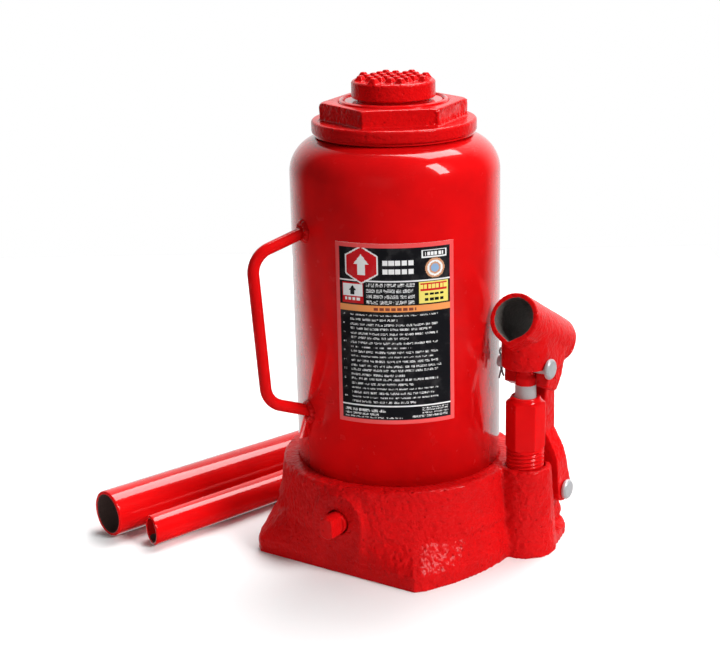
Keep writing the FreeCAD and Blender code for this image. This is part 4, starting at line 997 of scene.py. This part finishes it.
def carried_over_nodes():
    """Materials for the pieces that stay as CAD made them."""
    dress(SHEET_RED, "carry_handle", "tank_top_gasket")
    dress(FINE_CAST_RED, "overload_cap", "link_upper_pin")
    ram_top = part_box("ram")[1][2]
    dress(enamel("enamel_ram_end", bare_below=ram_top - 1.0 * MM, bare_colour=(0.62, 0.62, 0.63),
                 bare_metal=0.5, brushed=True), "ram")
    wiper_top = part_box("ram_wiper")[1][2]
    dress(enamel("enamel_wiper", bare_below=wiper_top - 1.8 * MM, bare_colour=(0.03, 0.03, 0.03),
                 bare_metal=0.0), "ram_wiper")
    dress(POLISHED, "suction_ball", "pressure_ball", "overload_ball", "release_valve_ball")
    dress(TURNED, "suction_plug", "pressure_retainer", "overload_screw", "hydraulic_cylinder")
    dress(SPRING, "pressure_spring", "overload_spring", "screw_stop_ring")
    dress(COPPER, "cylinder_gasket", "pump_washer")
    dress(BLACK_RUBBER, "tank_bottom_gasket", "gland_o_ring", "piston_cup_seal",
          "release_valve_o_ring", "plunger_seal", "plunger_wiper")
    dress(GUIDE, "piston_guide_ring")


# ---------------------------------------------------------------- studio

def camera():
    """The photographer's view: 78.5 mm lens, turned and tipped as fitted to the jack's outline."""
    yaw, pitch, roll = math.radians(-1.421), math.radians(16.982), math.radians(-1.356)
    forward = Vector((math.sin(yaw) * math.cos(pitch), math.cos(yaw) * math.cos(pitch), -math.sin(pitch)))
    level = Vector((math.cos(yaw), -math.sin(yaw), 0))
    up = level.cross(forward)
    right = level * math.cos(roll) + up * math.sin(roll)
    up = up * math.cos(roll) - level * math.sin(roll)
    data = bpy.data.cameras.new("camera")
    data.sensor_width = 36
    data.lens = 78.5
    data.clip_start = 0.05
    data.clip_end = 20
    item = bpy.data.objects.new("camera", data)
    bpy.context.scene.collection.objects.link(item)
    axes = [studio(*axis) for axis in (right, up, -forward)]
    place = Matrix.Identity(4)
    for column, axis in enumerate(axes):
        for row in range(3):
            place[row][column] = axis[row]
    place.translation = studio(0, -0.77305, 0.34713)
    item.matrix_world = place
    bpy.context.scene.camera = item


def softbox(name, azimuth, elevation, distance, size, power, shine):
    """An area light aimed at the jack, at an azimuth (0 towards the camera, 90 right) and an elevation.

    With shine it only makes highlights, without it only soft light, so that each can be balanced alone.
    """
    aim = (0, 0, 0.12)
    angle, tilt = math.radians(azimuth), math.radians(elevation)
    direction = studio(math.sin(angle) * math.cos(tilt), -math.cos(angle) * math.cos(tilt), math.sin(tilt))
    data = bpy.data.lights.new(name, "AREA")
    data.shape = "RECTANGLE"
    data.size, data.size_y = size
    data.energy = power
    item = bpy.data.objects.new(name, data)
    bpy.context.scene.collection.objects.link(item)
    item.location = Vector(aim) + direction * distance
    item.rotation_euler = (-direction).to_track_quat("-Z", "Y").to_euler()
    item.visible_camera = False
    item.visible_glossy = shine
    item.visible_diffuse = not shine


def backdrop_world():
    """White behind the jack and dim behind the camera, as in a product tent."""
    world = bpy.data.worlds.new("tent")
    bpy.context.scene.world = world
    world.use_nodes = True
    tree = world.node_tree
    tree.nodes.clear()
    output = tree.nodes.new("ShaderNodeOutputWorld")
    seen = tree.nodes.new("ShaderNodeBackground")
    felt = tree.nodes.new("ShaderNodeBackground")
    mix = tree.nodes.new("ShaderNodeMixShader")
    path = tree.nodes.new("ShaderNodeLightPath")
    seen.inputs["Color"].default_value = (1, 1, 1, 1)
    seen.inputs["Strength"].default_value = 1.0
    where = tree.nodes.new("ShaderNodeTexCoord")
    dot = tree.nodes.new("ShaderNodeVectorMath")
    dot.operation = "DOT_PRODUCT"
    dot.inputs[1].default_value = studio(0, 1, 0)
    ramp = tree.nodes.new("ShaderNodeMapRange")
    ramp.interpolation_type = "SMOOTHSTEP"
    ramp.inputs["From Min"].default_value = 0.38
    ramp.inputs["From Max"].default_value = 0.90
    ramp.inputs["To Min"].default_value = 0.03
    ramp.inputs["To Max"].default_value = 1.0
    tree.links.new(where.outputs["Generated"], dot.inputs[0])
    tree.links.new(dot.outputs["Value"], ramp.inputs["Value"])
    tree.links.new(ramp.outputs["Result"], felt.inputs["Strength"])
    tree.links.new(path.outputs["Is Camera Ray"], mix.inputs["Fac"])
    tree.links.new(felt.outputs[0], mix.inputs[1])
    tree.links.new(seen.outputs[0], mix.inputs[2])
    tree.links.new(mix.outputs[0], output.inputs["Surface"])


def floor():
    """Plain pale floor."""
    bm = bmesh.new()
    left, right, near, far = -0.42, 0.28, -0.2, 0.6
    corners = ((left, near), (right, near), (right, far), (left, far))
    bm.faces.new([bm.verts.new(studio(x, y, 0)) for x, y in corners])
    mesh = mesh_from("floor", bm)
    nodes = Nodes("floor_paper")
    nodes.set("Base Color", nodes.mix(nodes.noise(400 * MM, 2), (0.93, 0.93, 0.93), (0.95, 0.95, 0.95)))
    nodes.set("Roughness", 0.75)
    mesh.materials.append(nodes.material)
    item = bpy.data.objects.new("floor", mesh)
    bpy.context.scene.collection.objects.link(item)
    item.visible_glossy = False


def studio_lights():
    """The first three light the jack; the last two are only seen as highlights in its paint."""
    softbox("key", 56, 33, 1.5, (0.5, 0.5), 24, shine=False)
    softbox("overhead", 155, 55, 1.4, (1.25, 1.15), 32, shine=False)
    softbox("fill_front", -20, 14, 1.6, (0.9, 0.9), 6, shine=False)
    softbox("key_shine", 58, 42, 1.5, (0.30, 0.76), 8.5, shine=True)
    softbox("overhead_shine", 150, 65, 1.4, (1.0, 0.75), 16, shine=True)


bpy.context.scene.view_settings.view_transform = "Standard"
camera()
backdrop_world()
floor()
base_casting()
reservoir_tank()
top_nut()
weld_beads()
release_valve()
helical_screw()
saddle()
pump_cylinder()
plunger()
handle_socket()
link()
pins()
split_pins()
handle_tubes()
filler_plug()
label()
carried_over_nodes()
studio_lights()
